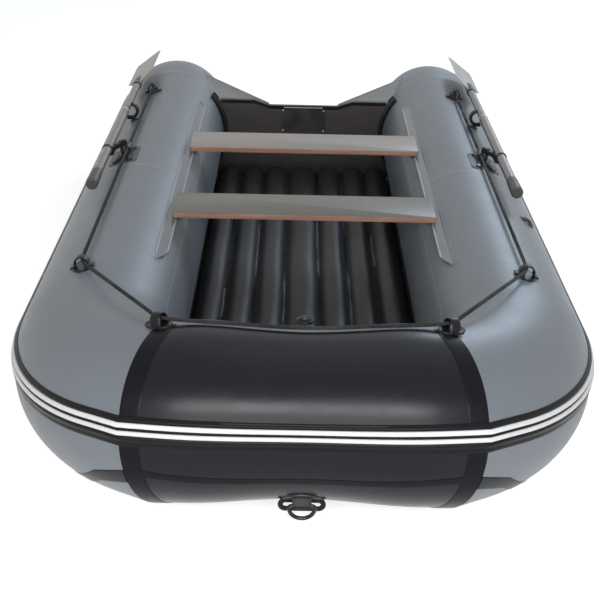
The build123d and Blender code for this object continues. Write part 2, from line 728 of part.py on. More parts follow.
with BuildPart() as oar_grip:
    with BuildSketch(turning_plane):
        with BuildLine():
            neck = Line((grip_root, 0), (grip_root, SLEEVE_R))
            waist = ((grip_end + grip_root) / 2, (GRIP_R + SLEEVE_R) / 2)
            flare = Spline(neck @ 1, waist, (grip_end + GRIP_ROUND, GRIP_R))
            nose = JernArc(start=flare @ 1, tangent=(-1, 0), radius=GRIP_ROUND, arc_size=90)
            Polyline(nose @ 1, (grip_end, 0), neck @ 0)
        make_face()
    revolve(axis=shaft_axis, revolution_arc=360)
    add(oar_shaft.part, mode=Mode.SUBTRACT)
save_pair(oar_grip, "oar_grip")

blade_turn = radians(BLADE_LEAN + OARLOCK_ANGLE - 90)
blade_across = pin_plane.y_dir * cos(blade_turn) + pin_plane.z_dir * sin(blade_turn)
blade_plane = Plane(shaft_plane.origin, x_dir=(0, 1, 0), z_dir=Vector(0, 1, 0).cross(blade_across))
blade_start, blade_end = BLADE_Y
half_width = BLADE_WIDTH / 2
with BuildPart() as oar_blade:
    with BuildSketch(blade_plane) as outline:
        with BuildLine():
            Polyline(
                (blade_start, -BLADE_NECK / 2),
                (blade_start + BLADE_SHOULDER, -half_width),
                (blade_end - TIP_SLANT, -half_width),
                (blade_end, half_width),
                (blade_start + BLADE_SHOULDER, half_width),
                (blade_start, BLADE_NECK / 2),
                close=True,
            )
        make_face()
        fillet(outline.vertices(), radius=BLADE_ROUND)
    extrude(amount=BLADE_THICK / 2, both=True)
    with BuildSketch(turning_plane):
        with BuildLine():
            Polyline(
                (blade_start - SOCKET_LENGTH, 0),
                (blade_start - SOCKET_LENGTH, SOCKET_R),
                (SHAFT_END_Y + SOCKET_CAP, SOCKET_R),
                (SPINE_END_Y, BLADE_THICK / 2),
                (SPINE_END_Y, 0),
                close=True,
            )
        make_face()
    revolve(axis=shaft_axis, revolution_arc=360)
    add(oar_shaft.part, mode=Mode.SUBTRACT)
save_pair(oar_blade, "oar_blade")

saddle_front, saddle_back = (station - OARLOCK_Y for station in SADDLE_Y)
with BuildPart() as oar_lock:
    with BuildSketch(pin_plane.offset(LOCK_LOW - PIN_REACH)):
        Circle(PIN_R)
    extrude(amount=PIN_REACH)
    with BuildSketch(pin_plane.offset(LOCK_LOW)):
        Circle(LOCK_R)
        with BuildLine():
            Polyline(
                (LOCK_R / 2, -LOCK_R / 2),
                (saddle_back, -OAR_OFFSET),
                (saddle_front, -OAR_OFFSET),
                (saddle_front, -OAR_OFFSET + SADDLE_WIDTH),
                (saddle_back, -OAR_OFFSET + SADDLE_WIDTH),
                (-LOCK_R / 2, LOCK_R / 2),
                close=True,
            )
        make_face()
    extrude(amount=LOCK_HEIGHT)
    with BuildSketch(pin_plane.offset(LOCK_LOW + LOCK_HEIGHT)):
        Circle(CAP_R)
    extrude(amount=CAP_HEIGHT, taper=CAP_TAPER)
    add(round_length(SLEEVE_R + STRAP_THICK, SADDLE_Y[0], SADDLE_Y[0] + STRAP_WIDTH))
    add(round_length(SLEEVE_R, SADDLE_Y[0] - STRAP_WIDTH, OARLOCK_Y + STRAP_WIDTH), mode=Mode.SUBTRACT)
save_pair(oar_lock, "oar_lock")

clip_plane = Plane(tube_point(CLIP_Y, OARLOCK_ANGLE), x_dir=pin_plane.y_dir, z_dir=(0, 1, 0))
# On this plane X points inboard and Y off the skin.
under_oar = OAR_HEIGHT - SLEEVE_R - CLIP_GAP
beside_oar = SLEEVE_R + CLIP_GAP - OAR_OFFSET
bulge_x, bulge_y = CLIP_BULGE
tip_x, tip_y = CLIP_TIP
with BuildPart() as oar_clip:
    with BuildSketch(clip_plane):
        with BuildLine():
            back = Spline((0, 0), (bulge_x, bulge_y), (tip_x + CLIP_WALL / 2, tip_y))
            front = Spline((tip_x, tip_y), (bulge_x - CLIP_WALL, bulge_y), (beside_oar, under_oar - CLIP_WALL))
            Line(back @ 1, front @ 0)
            Polyline(
                front @ 1,
                (-OAR_OFFSET - CLIP_LIP, under_oar),
                (-OAR_OFFSET - CLIP_LIP, under_oar - CLIP_WALL),
                (-OAR_OFFSET, -CLIP_SINK),
                (0, -CLIP_SINK),
                back @ 0,
            )
        make_face()
    extrude(amount=CLIP_WIDTH / 2, both=True)
    with BuildSketch(tube_plane(CLIP_Y, CLIP_BASE_ANGLE, -CLIP_SINK)):
        Circle(CLIP_BASE_R)
    extrude(amount=CLIP_SINK + CLIP_BASE_THICK)
    add(side_tube.part, mode=Mode.SUBTRACT)
save_pair(oar_clip, "oar_clip")

# ---------------------------------------------------------------- lifeline and its holders
bow_out = corner_out * cos(radians(BOW_HOLDER)) + corner_up * sin(radians(BOW_HOLDER))
bow_point = seam_point + bow_out * TUBE_R
bow_rope_point = bow_point + bow_out * ROPE_HEIGHT
mid_rope_point = tube_point(MID_HOLDER_Y, HOLDER_ANGLE, ROPE_HEIGHT)
rope_turn = (bow_rope_point - mid_rope_point).normalized() - Vector(1, 0, 0)
holder_planes = (
    tube_plane(STERN_HOLDER_Y, HOLDER_ANGLE),
    tube_plane(MID_HOLDER_Y, HOLDER_ANGLE),
    Plane(bow_point, x_dir=rope_turn - bow_out * rope_turn.dot(bow_out), z_dir=bow_out),
)
with BuildPart() as rope_holders:
    for plane in holder_planes:
        with BuildSketch(plane.offset(-SINK)):
            Ellipse(HOLDER_BASE[0] / 2, HOLDER_BASE[1] / 2)
        extrude(amount=SINK + HOLDER_BASE[2])
        with BuildSketch(Plane(plane.origin, x_dir=plane.y_dir, z_dir=plane.x_dir)):
            with BuildLine():
                crown = CenterArc((0, ARCH_MID), ARCH_R + ARCH_THICK / 2, 0, 180)
                for side, root in ((1, crown @ 0), (-1, crown @ 1)):
                    Spline(root, (side * ARCH_FOOT[0], ARCH_FOOT[1]), tangents=((0, -1), (side, 0)))
            trace(line_width=ARCH_THICK)
        extrude(amount=ARCH_WIDTH / 2, both=True)
    for tube in port_tubes:
        add(tube, mode=Mode.SUBTRACT)
    mirror(about=Plane.YZ)
save(rope_holders, "rope_holders")


def crest_point(across):
    """Point where the lifeline lies on the crest of the bow section."""
    plane = bow_section(across)
    crest = Vector(0, cos(radians(CREST_ANGLE)), sin(radians(CREST_ANGLE)))
    return plane.origin + crest * (bow_radius(across) + ROPE_R + CREST_GAP)


rope_points = [
    tube_point(STERN_HOLDER_Y + ROPE_TAIL, HOLDER_ANGLE, ROPE_HEIGHT),
    mid_rope_point,
    bow_rope_point,
    *[crest_point(across) for across in CREST_X],
]
rope_points += [Vector(-point.X, point.Y, point.Z) for point in reversed(rope_points)]
with BuildPart() as lifeline:
    with BuildLine() as route:
        FilletPolyline(*rope_points, radius=ROPE_BENDS + ROPE_BENDS[::-1])
    with BuildSketch(Plane(route.line @ 0, z_dir=route.line % 0)):
        Circle(ROPE_R)
    sweep()
save(lifeline, "lifeline")

# ---------------------------------------------------------------- towing eye and its ring
tow_out = Vector(0, -cos(radians(TOW_ANGLE)), -sin(radians(TOW_ANGLE)))
tow_point = Vector(0, BOW_Y, BOW_Z) + tow_out * BOW_R
bar_point = tow_point + tow_out * TOW_BAR_DROP
with BuildPart() as tow_eye:
    with BuildSketch(Plane(tow_point - tow_out * SINK, x_dir=(1, 0, 0), z_dir=tow_out)):
        Ellipse(TOW_PATCH[0] / 2, TOW_PATCH[1] / 2)
    extrude(amount=SINK + TOW_PATCH[2])
    with BuildSketch(Plane(bar_point, x_dir=tow_out, z_dir=(1, 0, 0))):
        Circle(TOW_BARREL_R)
        with Locations((-TOW_BAR_DROP / 2, 0)):
            Rectangle(TOW_BAR_DROP, 2 * TOW_BARREL_R)
        Circle(TOW_WIRE_R + TOW_WIRE_GAP, mode=Mode.SUBTRACT)
    extrude(amount=TOW_TAB_WIDTH / 2, both=True)
    with BuildSketch(Plane((0, tow_point.Y + HANDLE_BACK, HANDLE_Z), x_dir=(1, 0, 0), z_dir=(0, -1, 0))):
        SlotOverall(HANDLE_SIZE[0], HANDLE_SIZE[1])
        SlotOverall(HANDLE_SIZE[0] - 2 * HANDLE_BAND, HANDLE_SIZE[1] - 2 * HANDLE_BAND, mode=Mode.SUBTRACT)
    extrude(amount=HANDLE_THICK / 2, both=True)
    add(bow_tube.part, mode=Mode.SUBTRACT)
save(tow_eye, "tow_eye")

ring_half, ring_depth = TOW_RING_SIZE
with BuildPart() as tow_ring:
    with BuildLine(Plane(bar_point, x_dir=(1, 0, 0), z_dir=(0, -1, 0))) as hoop:
        FilletPolyline(
            (-ring_half, 0),
            (ring_half, 0),
            (ring_half, -ring_depth),
            (-ring_half, -ring_depth),
            radius=TOW_RING_BENDS,
            close=True,
        )
    with BuildSketch(Plane(hoop.line @ 0, z_dir=hoop.line % 0)):
        Circle(TOW_WIRE_R)
    sweep()
save(tow_ring, "tow_ring")

# ---------------------------------------------------------------- valves and drain plugs
def round_fitting(plane, sizes):
    """Stepped round fitting standing on this plane and let into what is under it."""
    with BuildPart() as fitting:
        for radius, height in sizes:
            with BuildSketch(plane.offset(-SINK)):
                Circle(radius)
            extrude(amount=SINK + height)
    return fitting.part


with BuildPart() as air_valves:
    add(round_fitting(tube_plane(SIDE_VALVE_Y, SIDE_VALVE_ANGLE), VALVE_SIZES))
    mirror(about=Plane.YZ)
    add(round_fitting(tube_plane(BOW_VALVE_Y, BOW_VALVE_ANGLE), VALVE_SIZES))
    for tube in both_tubes:
        add(tube, mode=Mode.SUBTRACT)
save(air_valves, "air_valves")

with BuildPart() as floor_valve:
    add(round_fitting(Plane((FLOOR_VALVE[0], FLOOR_VALVE[1], RIB_TOP_Z)), VALVE_SIZES))
    add(air_floor.part, mode=Mode.SUBTRACT)
save(floor_valve, "floor_valve")

with BuildPart() as drain_plugs:
    drop = (DRAIN_PLUG[1] - TRANSOM_TOP) / cos(rake)
    plug_centre = board_plane.from_local_coords((DRAIN_PLUG[0], drop, -TRANSOM_THICK / 2))
    add(round_fitting(Plane(plug_centre, x_dir=(1, 0, 0), z_dir=board_plane.z_dir * -1), PLUG_SIZES))
    mirror(about=Plane.YZ)
    add(transom.part, mode=Mode.SUBTRACT)
save(drain_plugs, "drain_plugs")

# ---------------------------------------------------------------- tape over the bottom skin's seam
tape_low = TAPE_MID - TAPE_HALF
tape_high = TAPE_MID + TAPE_HALF
with BuildPart() as bottom_seam_tapes:
    for make in (corner_strip, side_strip):
        add(make(TUBE_R - LAP, TUBE_R + TAPE_THICK, tape_low, tape_high))
    for tube in (bow_tube.part, bow_corner.part, side_tube.part):
        add(tube, mode=Mode.SUBTRACT)
    mirror(about=Plane.YZ)
save(bottom_seam_tapes, "bottom_seam_tapes")
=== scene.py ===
from math import asin, cos, pi, radians, sin
import bmesh
import bpy
import numpy as np
from mathutils import Matrix, Vector


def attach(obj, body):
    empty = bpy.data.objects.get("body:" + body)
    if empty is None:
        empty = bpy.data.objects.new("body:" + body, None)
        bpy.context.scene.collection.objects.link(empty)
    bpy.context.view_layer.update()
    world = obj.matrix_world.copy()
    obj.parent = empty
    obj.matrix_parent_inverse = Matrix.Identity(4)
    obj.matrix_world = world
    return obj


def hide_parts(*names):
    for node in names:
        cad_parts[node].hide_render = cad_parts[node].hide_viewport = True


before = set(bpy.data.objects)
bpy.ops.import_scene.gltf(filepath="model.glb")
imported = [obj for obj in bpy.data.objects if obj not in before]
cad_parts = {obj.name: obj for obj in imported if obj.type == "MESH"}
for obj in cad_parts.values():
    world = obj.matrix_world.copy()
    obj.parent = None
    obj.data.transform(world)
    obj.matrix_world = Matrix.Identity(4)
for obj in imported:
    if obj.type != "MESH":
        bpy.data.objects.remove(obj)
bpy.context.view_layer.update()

# ---------------------------------------------------------------- air tubes
# The hull's ring of air tubes, in grey cloth coated with soft plastic on both faces. Flat panels
# are cut and glued into straight sides, bow corners and rounded stern cones, then blown hard.
mirror = np.array([-1.0, 1.0, 1.0])
sides = (("port", np.ones(3)), ("starboard", mirror))
tube_r = 0.236
side_x, side_z = 0.589, 0.266
side_axis = np.array([side_x, 0, side_z])
bow_r, bow_full_x = 0.219, 0.300
bow_y, seam_x, bow_arc = -1.350, 0.352, 2.060
bow_tilt, corner_tilt, heading = radians(36), radians(10), radians(35)
stub = 0.060
cone_y, cone_full, stern_y = 1.180, 0.22, 1.573

half_turn = asin(seam_x / bow_arc)
sagitta = bow_arc * (1 - cos(half_turn))
inset = (side_x - seam_x) / cos(corner_tilt)
seam_z = side_z + inset * sin(corner_tilt)
seam_y = bow_y + sagitta * cos(bow_tilt)
bow_z = seam_z + sagitta * sin(bow_tilt)
corner_r = (inset - stub * cos(heading)) / (1 - sin(heading))
corner_y = seam_y + corner_r * cos(heading) + stub * sin(heading)

inward = np.array([0, cos(bow_tilt), -sin(bow_tilt)])
bow_up = np.array([0, sin(bow_tilt), cos(bow_tilt)])
bow_centre = np.array([0, bow_y, bow_z]) + inward * bow_arc
outboard = np.array([cos(corner_tilt), 0, -sin(corner_tilt)])
corner_up = np.array([sin(corner_tilt), 0, cos(corner_tilt)])
aft = np.array([0.0, 1.0, 0.0])
corner_centre = side_axis + corner_y * aft - outboard * corner_r
seam_point = np.array([seam_x, seam_y, seam_z])
corner_along = outboard * cos(heading) + aft * sin(heading)
seam_normal = np.array([cos(half_turn), 0, 0]) + inward * sin(half_turn) + corner_along
seam_normal /= np.linalg.norm(seam_normal)


def circle(count):
    """Angles of this many places, spaced evenly round a full turn."""
    return np.linspace(0, 2 * pi, count + 1)[:-1]


def swell(across):
    """Bow section's radius: slim in the middle, easing out to the full tube by a smooth step."""
    share = np.clip(np.abs(across) / bow_full_x, 0, 1)
    return bow_r + (tube_r - bow_r) * share**2 * (3 - 2 * share)


def bow_point(turn, angle, height=0.0):
    """Bow section: a ring round the arc's centre, turned about bow_up, with a circle at each turn."""
    turn, angle = np.broadcast_arrays(turn, angle)
    out = np.sin(turn)[..., None] * [1, 0, 0] - np.cos(turn)[..., None] * inward
    radius = swell(bow_arc * np.sin(turn)) + height
    reach = bow_arc + radius * np.cos(angle)
    return bow_centre + out * reach[..., None] + bow_up * (radius * np.sin(angle))[..., None]


def seam_turn(angle, height=0.0):
    """Turn at which a line along the bow section meets the mitred seam, found by stepping to it."""
    turn = np.full(np.shape(angle), half_turn)
    for _ in range(12):
        short = (bow_point(turn, angle, height) - seam_point) @ seam_normal
        turn = turn - short / bow_arc
    return turn


def corner_point(turn, angle, height=0.0):
    """Corner: a circle carried round the corner's centre, from the seam's heading to straight aft."""
    turn, angle, height = np.broadcast_arrays(turn, angle, height)
    out = np.cos(turn)[..., None] * outboard - np.sin(turn)[..., None] * aft
    reach = corner_r + (tube_r + height) * np.cos(angle)
    lift = (tube_r + height) * np.sin(angle)
    return corner_centre + out * reach[..., None] + corner_up * lift[..., None]


def side_point(y, angle, height=0.0):
    """Straight side: a circle in the tilted section plane, carried aft."""
    y, angle, height = np.broadcast_arrays(y, angle, height)
    flat = outboard * np.cos(angle)[..., None] + corner_up * np.sin(angle)[..., None]
    return side_axis + y[..., None] * aft + (tube_r + height)[..., None] * flat


def cone_point(share, angle, height=0.0):
    """Stern cone: a circle whose radius and place follow a cubic curve to a rounded tip."""
    share, angle, height = np.broadcast_arrays(share, angle, height)
    rest = 1 - share
    full_y = cone_y + cone_full
    y = rest**3 * cone_y + 3 * rest**2 * share * full_y + (3 * rest * share**2 + share**3) * stern_y
    radius = tube_r * (1 - share**3)
    slope_y = 3 * rest**2 * cone_full + 6 * rest * share * (stern_y - full_y)
    slope_r = -3 * tube_r * share**2
    length = np.hypot(slope_y, slope_r) + 1e-9
    radius = radius + height * slope_y / length
    flat = outboard * np.cos(angle)[..., None] + corner_up * np.sin(angle)[..., None]
    y = y - height * slope_r / length
    return side_axis + y[..., None] * aft + radius[..., None] * flat


def mitre_point(angle, height=0.0):
    """Where a line along the corner's straight stub meets the plane of the mitred seam."""
    start = corner_point(pi / 2 - heading, angle, height)
    short = (start - seam_point) @ seam_normal / (seam_normal @ corner_along)
    return start - corner_along * short[..., None]


def tube_rows(angle, height=0.0, stop=1.0, fine=1.0):
    """Rows along the port tube from the seam to the stern: stub, corner, side and cone, end to end."""
    angle = np.atleast_1d(angle)[None, :]
    share = np.linspace(0, 1, max(2, int(3 * fine)))[:-1, None, None]
    start = mitre_point(angle, height)
    straight = start + (corner_point(pi / 2 - heading, angle, height) - start) * share
    turns = np.linspace(pi / 2 - heading, 0, int(26 * fine))[:-1, None]
    places = np.linspace(corner_y, cone_y, int(60 * fine))[:-1, None]
    tips = np.linspace(0, stop, int(34 * fine))[:, None]
    parts = (straight, corner_point(turns, angle, height), side_point(places, angle, height))
    return np.concatenate([*parts, cone_point(tips, angle, height)])


def lengths_along(rows):
    """Distance along each line of the grid, summed from the first row, for patterns that follow it."""
    steps = np.linalg.norm(np.diff(rows, axis=0), axis=2)
    return np.concatenate([np.zeros((1, rows.shape[1])), np.cumsum(steps, 0)])


def surface(name, rows, look, wrap=True, ends=True, sharp=40):
    """Mesh over a grid of points: each four neighbours are a face, the last place of a row joins the
    first when it wraps, and a flat face closes each end row. UV is metres along and round the grid."""
    rows = np.asarray(rows, float)
    count, places = rows.shape[:2]
    index = np.arange(count * places).reshape(count, places)
    first, second = (index, np.roll(index, -1, 1)) if wrap else (index[:, :-1], index[:, 1:])
    quads = np.stack([first[:-1], second[:-1], second[1:], first[1:]], -1).reshape(-1, 4)
    faces = quads.tolist()
    along = lengths_along(rows)
    closed = np.concatenate([rows, rows[:, :1]], 1) if wrap else rows
    steps = np.linalg.norm(np.diff(closed, axis=1), axis=2)
    round_it = np.concatenate([np.zeros((count, 1)), np.cumsum(steps, 1)], 1)
    next_round = round_it[:, 1:]
    this_round = round_it[:, : next_round.shape[1]]
    along_first = along[:, : next_round.shape[1]]
    along_second = np.roll(along, -1, 1)[:, : next_round.shape[1]]
    corners = [
        np.stack([along_first[:-1], this_round[:-1]], -1),
        np.stack([along_second[:-1], next_round[:-1]], -1),
        np.stack([along_second[1:], next_round[1:]], -1),
        np.stack([along_first[1:], this_round[1:]], -1),
    ]
    uv = np.stack(corners, 2).reshape(-1, 2)
    if ends and wrap:
        faces += [index[0].tolist(), index[-1][::-1].tolist()]
        uv = np.concatenate([uv, np.zeros((2 * places, 2))])
    mesh = bpy.data.meshes.new(name)
    mesh.from_pydata(rows.reshape(-1, 3).tolist(), [], faces)
    mesh.uv_layers.new(name="UVMap").data.foreach_set("uv", uv.astype(np.float32).ravel())
    bm = bmesh.new()
    bm.from_mesh(mesh)
    bmesh.ops.remove_doubles(bm, verts=bm.verts, dist=1e-6)
    bmesh.ops.recalc_face_normals(bm, faces=bm.faces)
    bm.to_mesh(mesh)
    bm.free()
    mesh.polygons.foreach_set("use_smooth", [True] * len(mesh.polygons))
    mesh.set_sharp_from_angle(angle=radians(sharp))
    piece = bpy.data.objects.new(name, mesh)
    bpy.context.scene.collection.objects.link(piece)
    mesh.materials.append(look)
    return piece


def fit(piece, body, slot=None, *plain):
    """Give a piece the body it moves with, and hide the plain nodes that it stands for. The slot is not used.
    """
    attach(piece, body)
    if plain:
        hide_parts(*plain)


def second_look(piece, look, places, rows):
    """Dress the faces at these places of every row of a grid's faces in a second material."""
    mesh = piece.data
    mesh.materials.append(look)
    index = np.zeros(len(mesh.polygons), np.int32)
    index[: len(places) * (rows - 1)] = np.tile(places, rows - 1)
    mesh.polygons.foreach_set("material_index", index)


def node(tree, kind, inputs=None, **settings):
    """Add a shader node, set its fields, and set or link each named input."""
    made = tree.nodes.new("ShaderNode" + kind)
    for key, value in settings.items():
        setattr(made, key, value)
    for key, value in (inputs or {}).items():
        if isinstance(value, bpy.types.NodeSocket):
            tree.links.new(value, made.inputs[key])
        else:
            made.inputs[key].default_value = value
    return made


def maths(tree, kind, *values):
    """Output of a maths node of this kind, worked out from one to three values."""
    return node(tree, "Math", dict(enumerate(values)), operation=kind).outputs[0]


def look_group(name, inputs, outputs):
    """Empty shader node group with named inputs, as name, kind and value, and named outputs."""
    tree = bpy.data.node_groups.new(name, "ShaderNodeTree")
    for label, kind, value in inputs:
        socket = tree.interface.new_socket(label, in_out="INPUT", socket_type="NodeSocket" + kind)
        socket.default_value = value
    for label, kind in outputs:
        tree.interface.new_socket(label, in_out="OUTPUT", socket_type="NodeSocket" + kind)
    return tree, tree.nodes.new("NodeGroupInput").outputs, tree.nodes.new("NodeGroupOutput").inputs


def drifting(tree, given, result, clouds):
    """Scale a look group's colour by one and its drift, and give that drift back: the clouds' offset from
    their middle value, times the drift asked for."""
    drift = maths(tree, "MULTIPLY", maths(tree, "ADD", clouds.outputs["Fac"], -0.5), given["Drift"])
    scaled = {0: given["Colour"], "Scale": maths(tree, "ADD", drift, 1.0)}
    tint = node(tree, "VectorMath", scaled, operation="SCALE")
    tree.links.new(tint.outputs[0], result["Colour"])
    return drift


def placed_group(tree, shared, values):
    """Place a shared look group in a material's tree, with its own values by name."""
    group = tree.nodes.new("ShaderNodeGroup")
    group.node_tree = shared
    for label, value in values.items():
        group.inputs[label].default_value = value
    return group


def finish(name, shared, values, bump, depth, specular=0.5, metal=0.0):
    """Material whose colour, roughness and relief come from a shared look group with these values."""
    look = bpy.data.materials.new(name)
    look.use_nodes = True
    tree = look.node_tree
    shader = tree.nodes["Principled BSDF"]
    shader.inputs["Specular IOR Level"].default_value = specular
    shader.inputs["Metallic"].default_value = metal
    group = placed_group(tree, shared, values)
    relief = node(tree, "Bump", {"Height": group.outputs["Height"], "Strength": bump, "Distance": depth})
    tree.links.new(group.outputs["Colour"], shader.inputs["Base Color"])
    tree.links.new(group.outputs["Roughness"], shader.inputs["Roughness"])
    tree.links.new(relief.outputs["Normal"], shader.inputs["Normal"])
    return look


# Coated cloth: the colour drifts in broad soft clouds, the sheen in smaller ones, and the weave
# under the coating shows as a fine even grain.
cloth_tree, given, result = look_group(
    "coated_cloth",
    (
        ("Colour", "Color", (0.5, 0.5, 0.5, 1)),
        ("Drift", "Float", 0.06),
        ("Sheen", "Float", 0.4),
        ("Grain", "Float", 900),
    ),
    (("Colour", "Color"), ("Roughness", "Float"), ("Height", "Float")),
)
place = node(cloth_tree, "TexCoord").outputs["Object"]
clouds = node(cloth_tree, "TexNoise", {"Vector": place, "Scale": 2.3, "Detail": 3})
drifting(cloth_tree, given, result, clouds)
patches = node(cloth_tree, "TexNoise", {"Vector": place, "Scale": 14, "Detail": 4})
spread = {"From Min": 0.3, "From Max": 0.7, "To Min": -0.03, "To Max": 0.03}
rough = node(cloth_tree, "MapRange", {"Value": patches.outputs["Fac"], **spread}).outputs[0]
cloth_tree.links.new(maths(cloth_tree, "ADD", rough, given["Sheen"]), result["Roughness"])
weave = node(cloth_tree, "TexVoronoi", {"Vector": place, "Scale": given["Grain"]})
cloth_tree.links.new(weave.outputs["Distance"], result["Height"])


def coated_cloth(name, colour, sheen, drift=0.06, grain=900, bump=0.05, specular=0.4):
    """Material of coated cloth in one colour, with the shared cloth look behind its colour and grain."""
    values = {"Colour": (*colour, 1), "Drift": drift, "Sheen": sheen, "Grain": grain}
    return finish(name, cloth_tree, values, bump, 0.0005, specular)


tube_grey = (0.180, 0.202, 0.226)
tube_look = coated_cloth("tube_cloth", tube_grey, 0.42)
around = circle(128)
for side, flip in sides:
    skin = surface(f"{side}_tube_skin", tube_rows(around, fine=2) * flip, tube_look)
    fit(skin, "hull", "tube_grey", f"{side}_bow_corner", f"{side}_side_tube", f"{side}_stern_cone")

# ---------------------------------------------------------------- bow section
# The short tube across the bow, glued between the corners at two mitred seams. Its front wears
# panels of black cloth from the lifeline down, while its inner face is grey like the other tubes.
panel_top, panel_bottom = radians(98), radians(-118)
bow_look = coated_cloth("bow_panel_cloth", (0.005, 0.006, 0.010), 0.26, drift=0.2, specular=0.22)
panel_places = 97
arc = np.linspace(panel_top, panel_bottom + 2 * pi, 61)[1:-1]
arc = np.concatenate([np.linspace(panel_bottom, panel_top, panel_places), arc]) - bow_tilt
turns = np.linspace(-1, 1, 81)[:, None] * seam_turn(arc)[None, :]
bow_skin = surface("bow_skin", bow_point(turns, arc[None, :]), bow_look)
second_look(bow_skin, tube_look, np.arange(len(arc)) >= panel_places - 1, len(turns))
fit(bow_skin, "hull", "bow_black", "bow_tube")


def strip(name, lines, across, look, height=0.0012, slot=None, plain=()):
    """Thin glued strip: lines(share, height) gives rows of points on a surface, share runs across it,
    and the loop round it goes up one bevelled edge, over the top and down into the surface."""
    share = np.array([0, 0, 0.04, *np.linspace(0.1, 0.9, across), 0.96, 1, 1])
    rise = np.array([-1, 0.5, 0.9, *[1.0] * across, 0.9, 0.5, -1]) * height
    fit(surface(name, lines(share, rise), look), "hull", slot, *plain)


# Tape over each mitred seam, black like the panels, and a finer cut edge where the upper and
# lower panels overlap below the strake.
mitre_tape, panel_overlap = 0.045, 0.022
tape_look = coated_cloth("black_tape_cloth", (0.007, 0.007, 0.010), 0.32, drift=0.1, specular=0.10)
for side, flip in sides:

    def over_seam(share, rise):
        """Rows round the bow section, each crossing the tape from its inner edge to the seam."""
        arc = np.linspace(panel_bottom, panel_top, 110)[:, None] - bow_tilt
        turn = seam_turn(arc) + (share[None, :] - 1) * mitre_tape / bow_arc
        return bow_point(turn, arc, rise[None, :]) * flip

    strip(f"{side}_bow_seam_tape", over_seam, 6, tape_look, slot="bow_black")


def below_strake(share, rise):
    """Rows along the bow: the overlap hangs lowest in the middle and rises by a square law to both seams."""
    reach = np.linspace(-1, 1, 90)[:, None]
    edge = radians(-15) + radians(10) * reach**2 - bow_tilt
    arc = edge + (share[None, :] - 1) * panel_overlap / bow_r
    turn = reach * (seam_turn(arc) - 0.6 * mitre_tape / bow_arc)
    return bow_point(turn, arc, rise[None, :])


strip("bow_panel_overlap", below_strake, 3, tape_look, height=0.0008, slot="bow_black")

# ---------------------------------------------------------------- seams of the grey tubes
# Where two panels of the grey cloth meet, one laps over the other and is glued, so a low step
# runs round or along the tube, a little lighter than the cloth beside it.
lap, long_lap_rows = 0.024, 74
lap_look = coated_cloth("tube_lap_cloth", tuple(1.06 * c for c in tube_grey), 0.38)
long_lap = radians(158)
mid_lap_y = -0.030
for side, flip in sides:

    def along_inside(share, rise):
        """Rows along the tube's inner side, from the bow seam nearly to the transom."""
        arc = long_lap + (share - 0.5) * lap / tube_r
        return tube_rows(arc, rise)[:long_lap_rows] * flip

    def round_side(share, rise):
        """Rows round the straight side, where two lengths of it are joined."""
        arc = np.linspace(0, 2 * pi, 121)[:, None]
        return side_point(mid_lap_y + (share[None, :] - 0.5) * lap, arc, rise[None, :]) * flip

    def round_cone(share, rise):
        """Rows round the tube at the stern cone's root."""
        arc = np.linspace(0, 2 * pi, 121)[:, None]
        return side_point(cone_y - lap + share[None, :] * lap, arc, rise[None, :]) * flip

    for name, lines in (("long_lap", along_inside), ("side_lap", round_side), ("cone_lap", round_cone)):
        strip(f"{side}_{name}", lines, 3, lap_look, height=0.0006, slot="tube_grey")

# ---------------------------------------------------------------- rubbing strake
# An extruded rubber strip glued round the outside of the tubes as a fender: a broad black base
# with raised lips, and two raised white bands pressed into it.
strake_mid = radians(23.6)
strake_end_y = 1.500
seam_out = sin(heading) * outboard - cos(heading) * aft


def ring_rows(angle, height):
    """Rows along the port half of the whole ring: from the bow's middle, where the line has the same
    slope off level, through the seam and corner, along the side, and on to the stern cone."""
    height = height * np.ones_like(angle)
    end = mitre_point(angle, height)
    reach = end - bow_centre
    end_turn = np.arctan2(reach[:, 0], -reach @ inward)
    end_arc = np.arctan2(reach @ bow_up, np.hypot(reach[:, 0], reach @ inward) - bow_arc)
    middle_arc = np.arcsin(seam_out[2] * np.cos(angle) + corner_up[2] * np.sin(angle)) - bow_tilt
    share = np.linspace(0, 1, 45)[:, None]
    bow_part = bow_point(share * end_turn, middle_arc + (end_arc - middle_arc) * share**2, height)
    bow_part = bow_part + (end - bow_part[-1]) * share[..., None] ** 4
    cone_share = np.linspace(0, 1, 400)
    cone_stations = cone_point(cone_share, 0.0)[:, 1]
    stop = np.interp(strake_end_y, cone_stations, cone_share)
    return np.concatenate([bow_part[:-1], tube_rows(angle, height, stop=stop)])


def round_ring(angle, height):
    """The port half's rows and their mirror image, joined at the bow into one length."""
    half = ring_rows(angle, height)
    return np.concatenate([(half * mirror)[:0:-1], half])


def ring_strip(name, profile, look, slot, plain):
    """Strip with this profile, in degrees off the strake's middle and millimetres off the tube."""
    turned, rise = np.array(profile, float).T
    rows = round_ring(strake_mid + np.radians(turned), rise / 1000)
    fit(surface(name, rows, look, sharp=50), "hull", slot, plain)


# Moulded rubber and plastic: a faint drift of tone and a fine pebble grain.
moulded_tree, given, result = look_group(
    "moulded",
    (
        ("Colour", "Color", (0.5, 0.5, 0.5, 1)),
        ("Drift", "Float", 0.1),
        ("Sheen", "Float", 0.4),
        ("Pebble", "Float", 500),
    ),
    (("Colour", "Color"), ("Roughness", "Float"), ("Height", "Float")),
)
place = node(moulded_tree, "TexCoord").outputs["Object"]
clouds = node(moulded_tree, "TexNoise", {"Vector": place, "Scale": 18, "Detail": 5})
level = drifting(moulded_tree, given, result, clouds)
moulded_tree.links.new(maths(moulded_tree, "ADD", level, given["Sheen"]), result["Roughness"])
pebble = node(moulded_tree, "TexNoise", {"Vector": place, "Scale": given["Pebble"], "Detail": 2})
moulded_tree.links.new(pebble.outputs["Fac"], result["Height"])


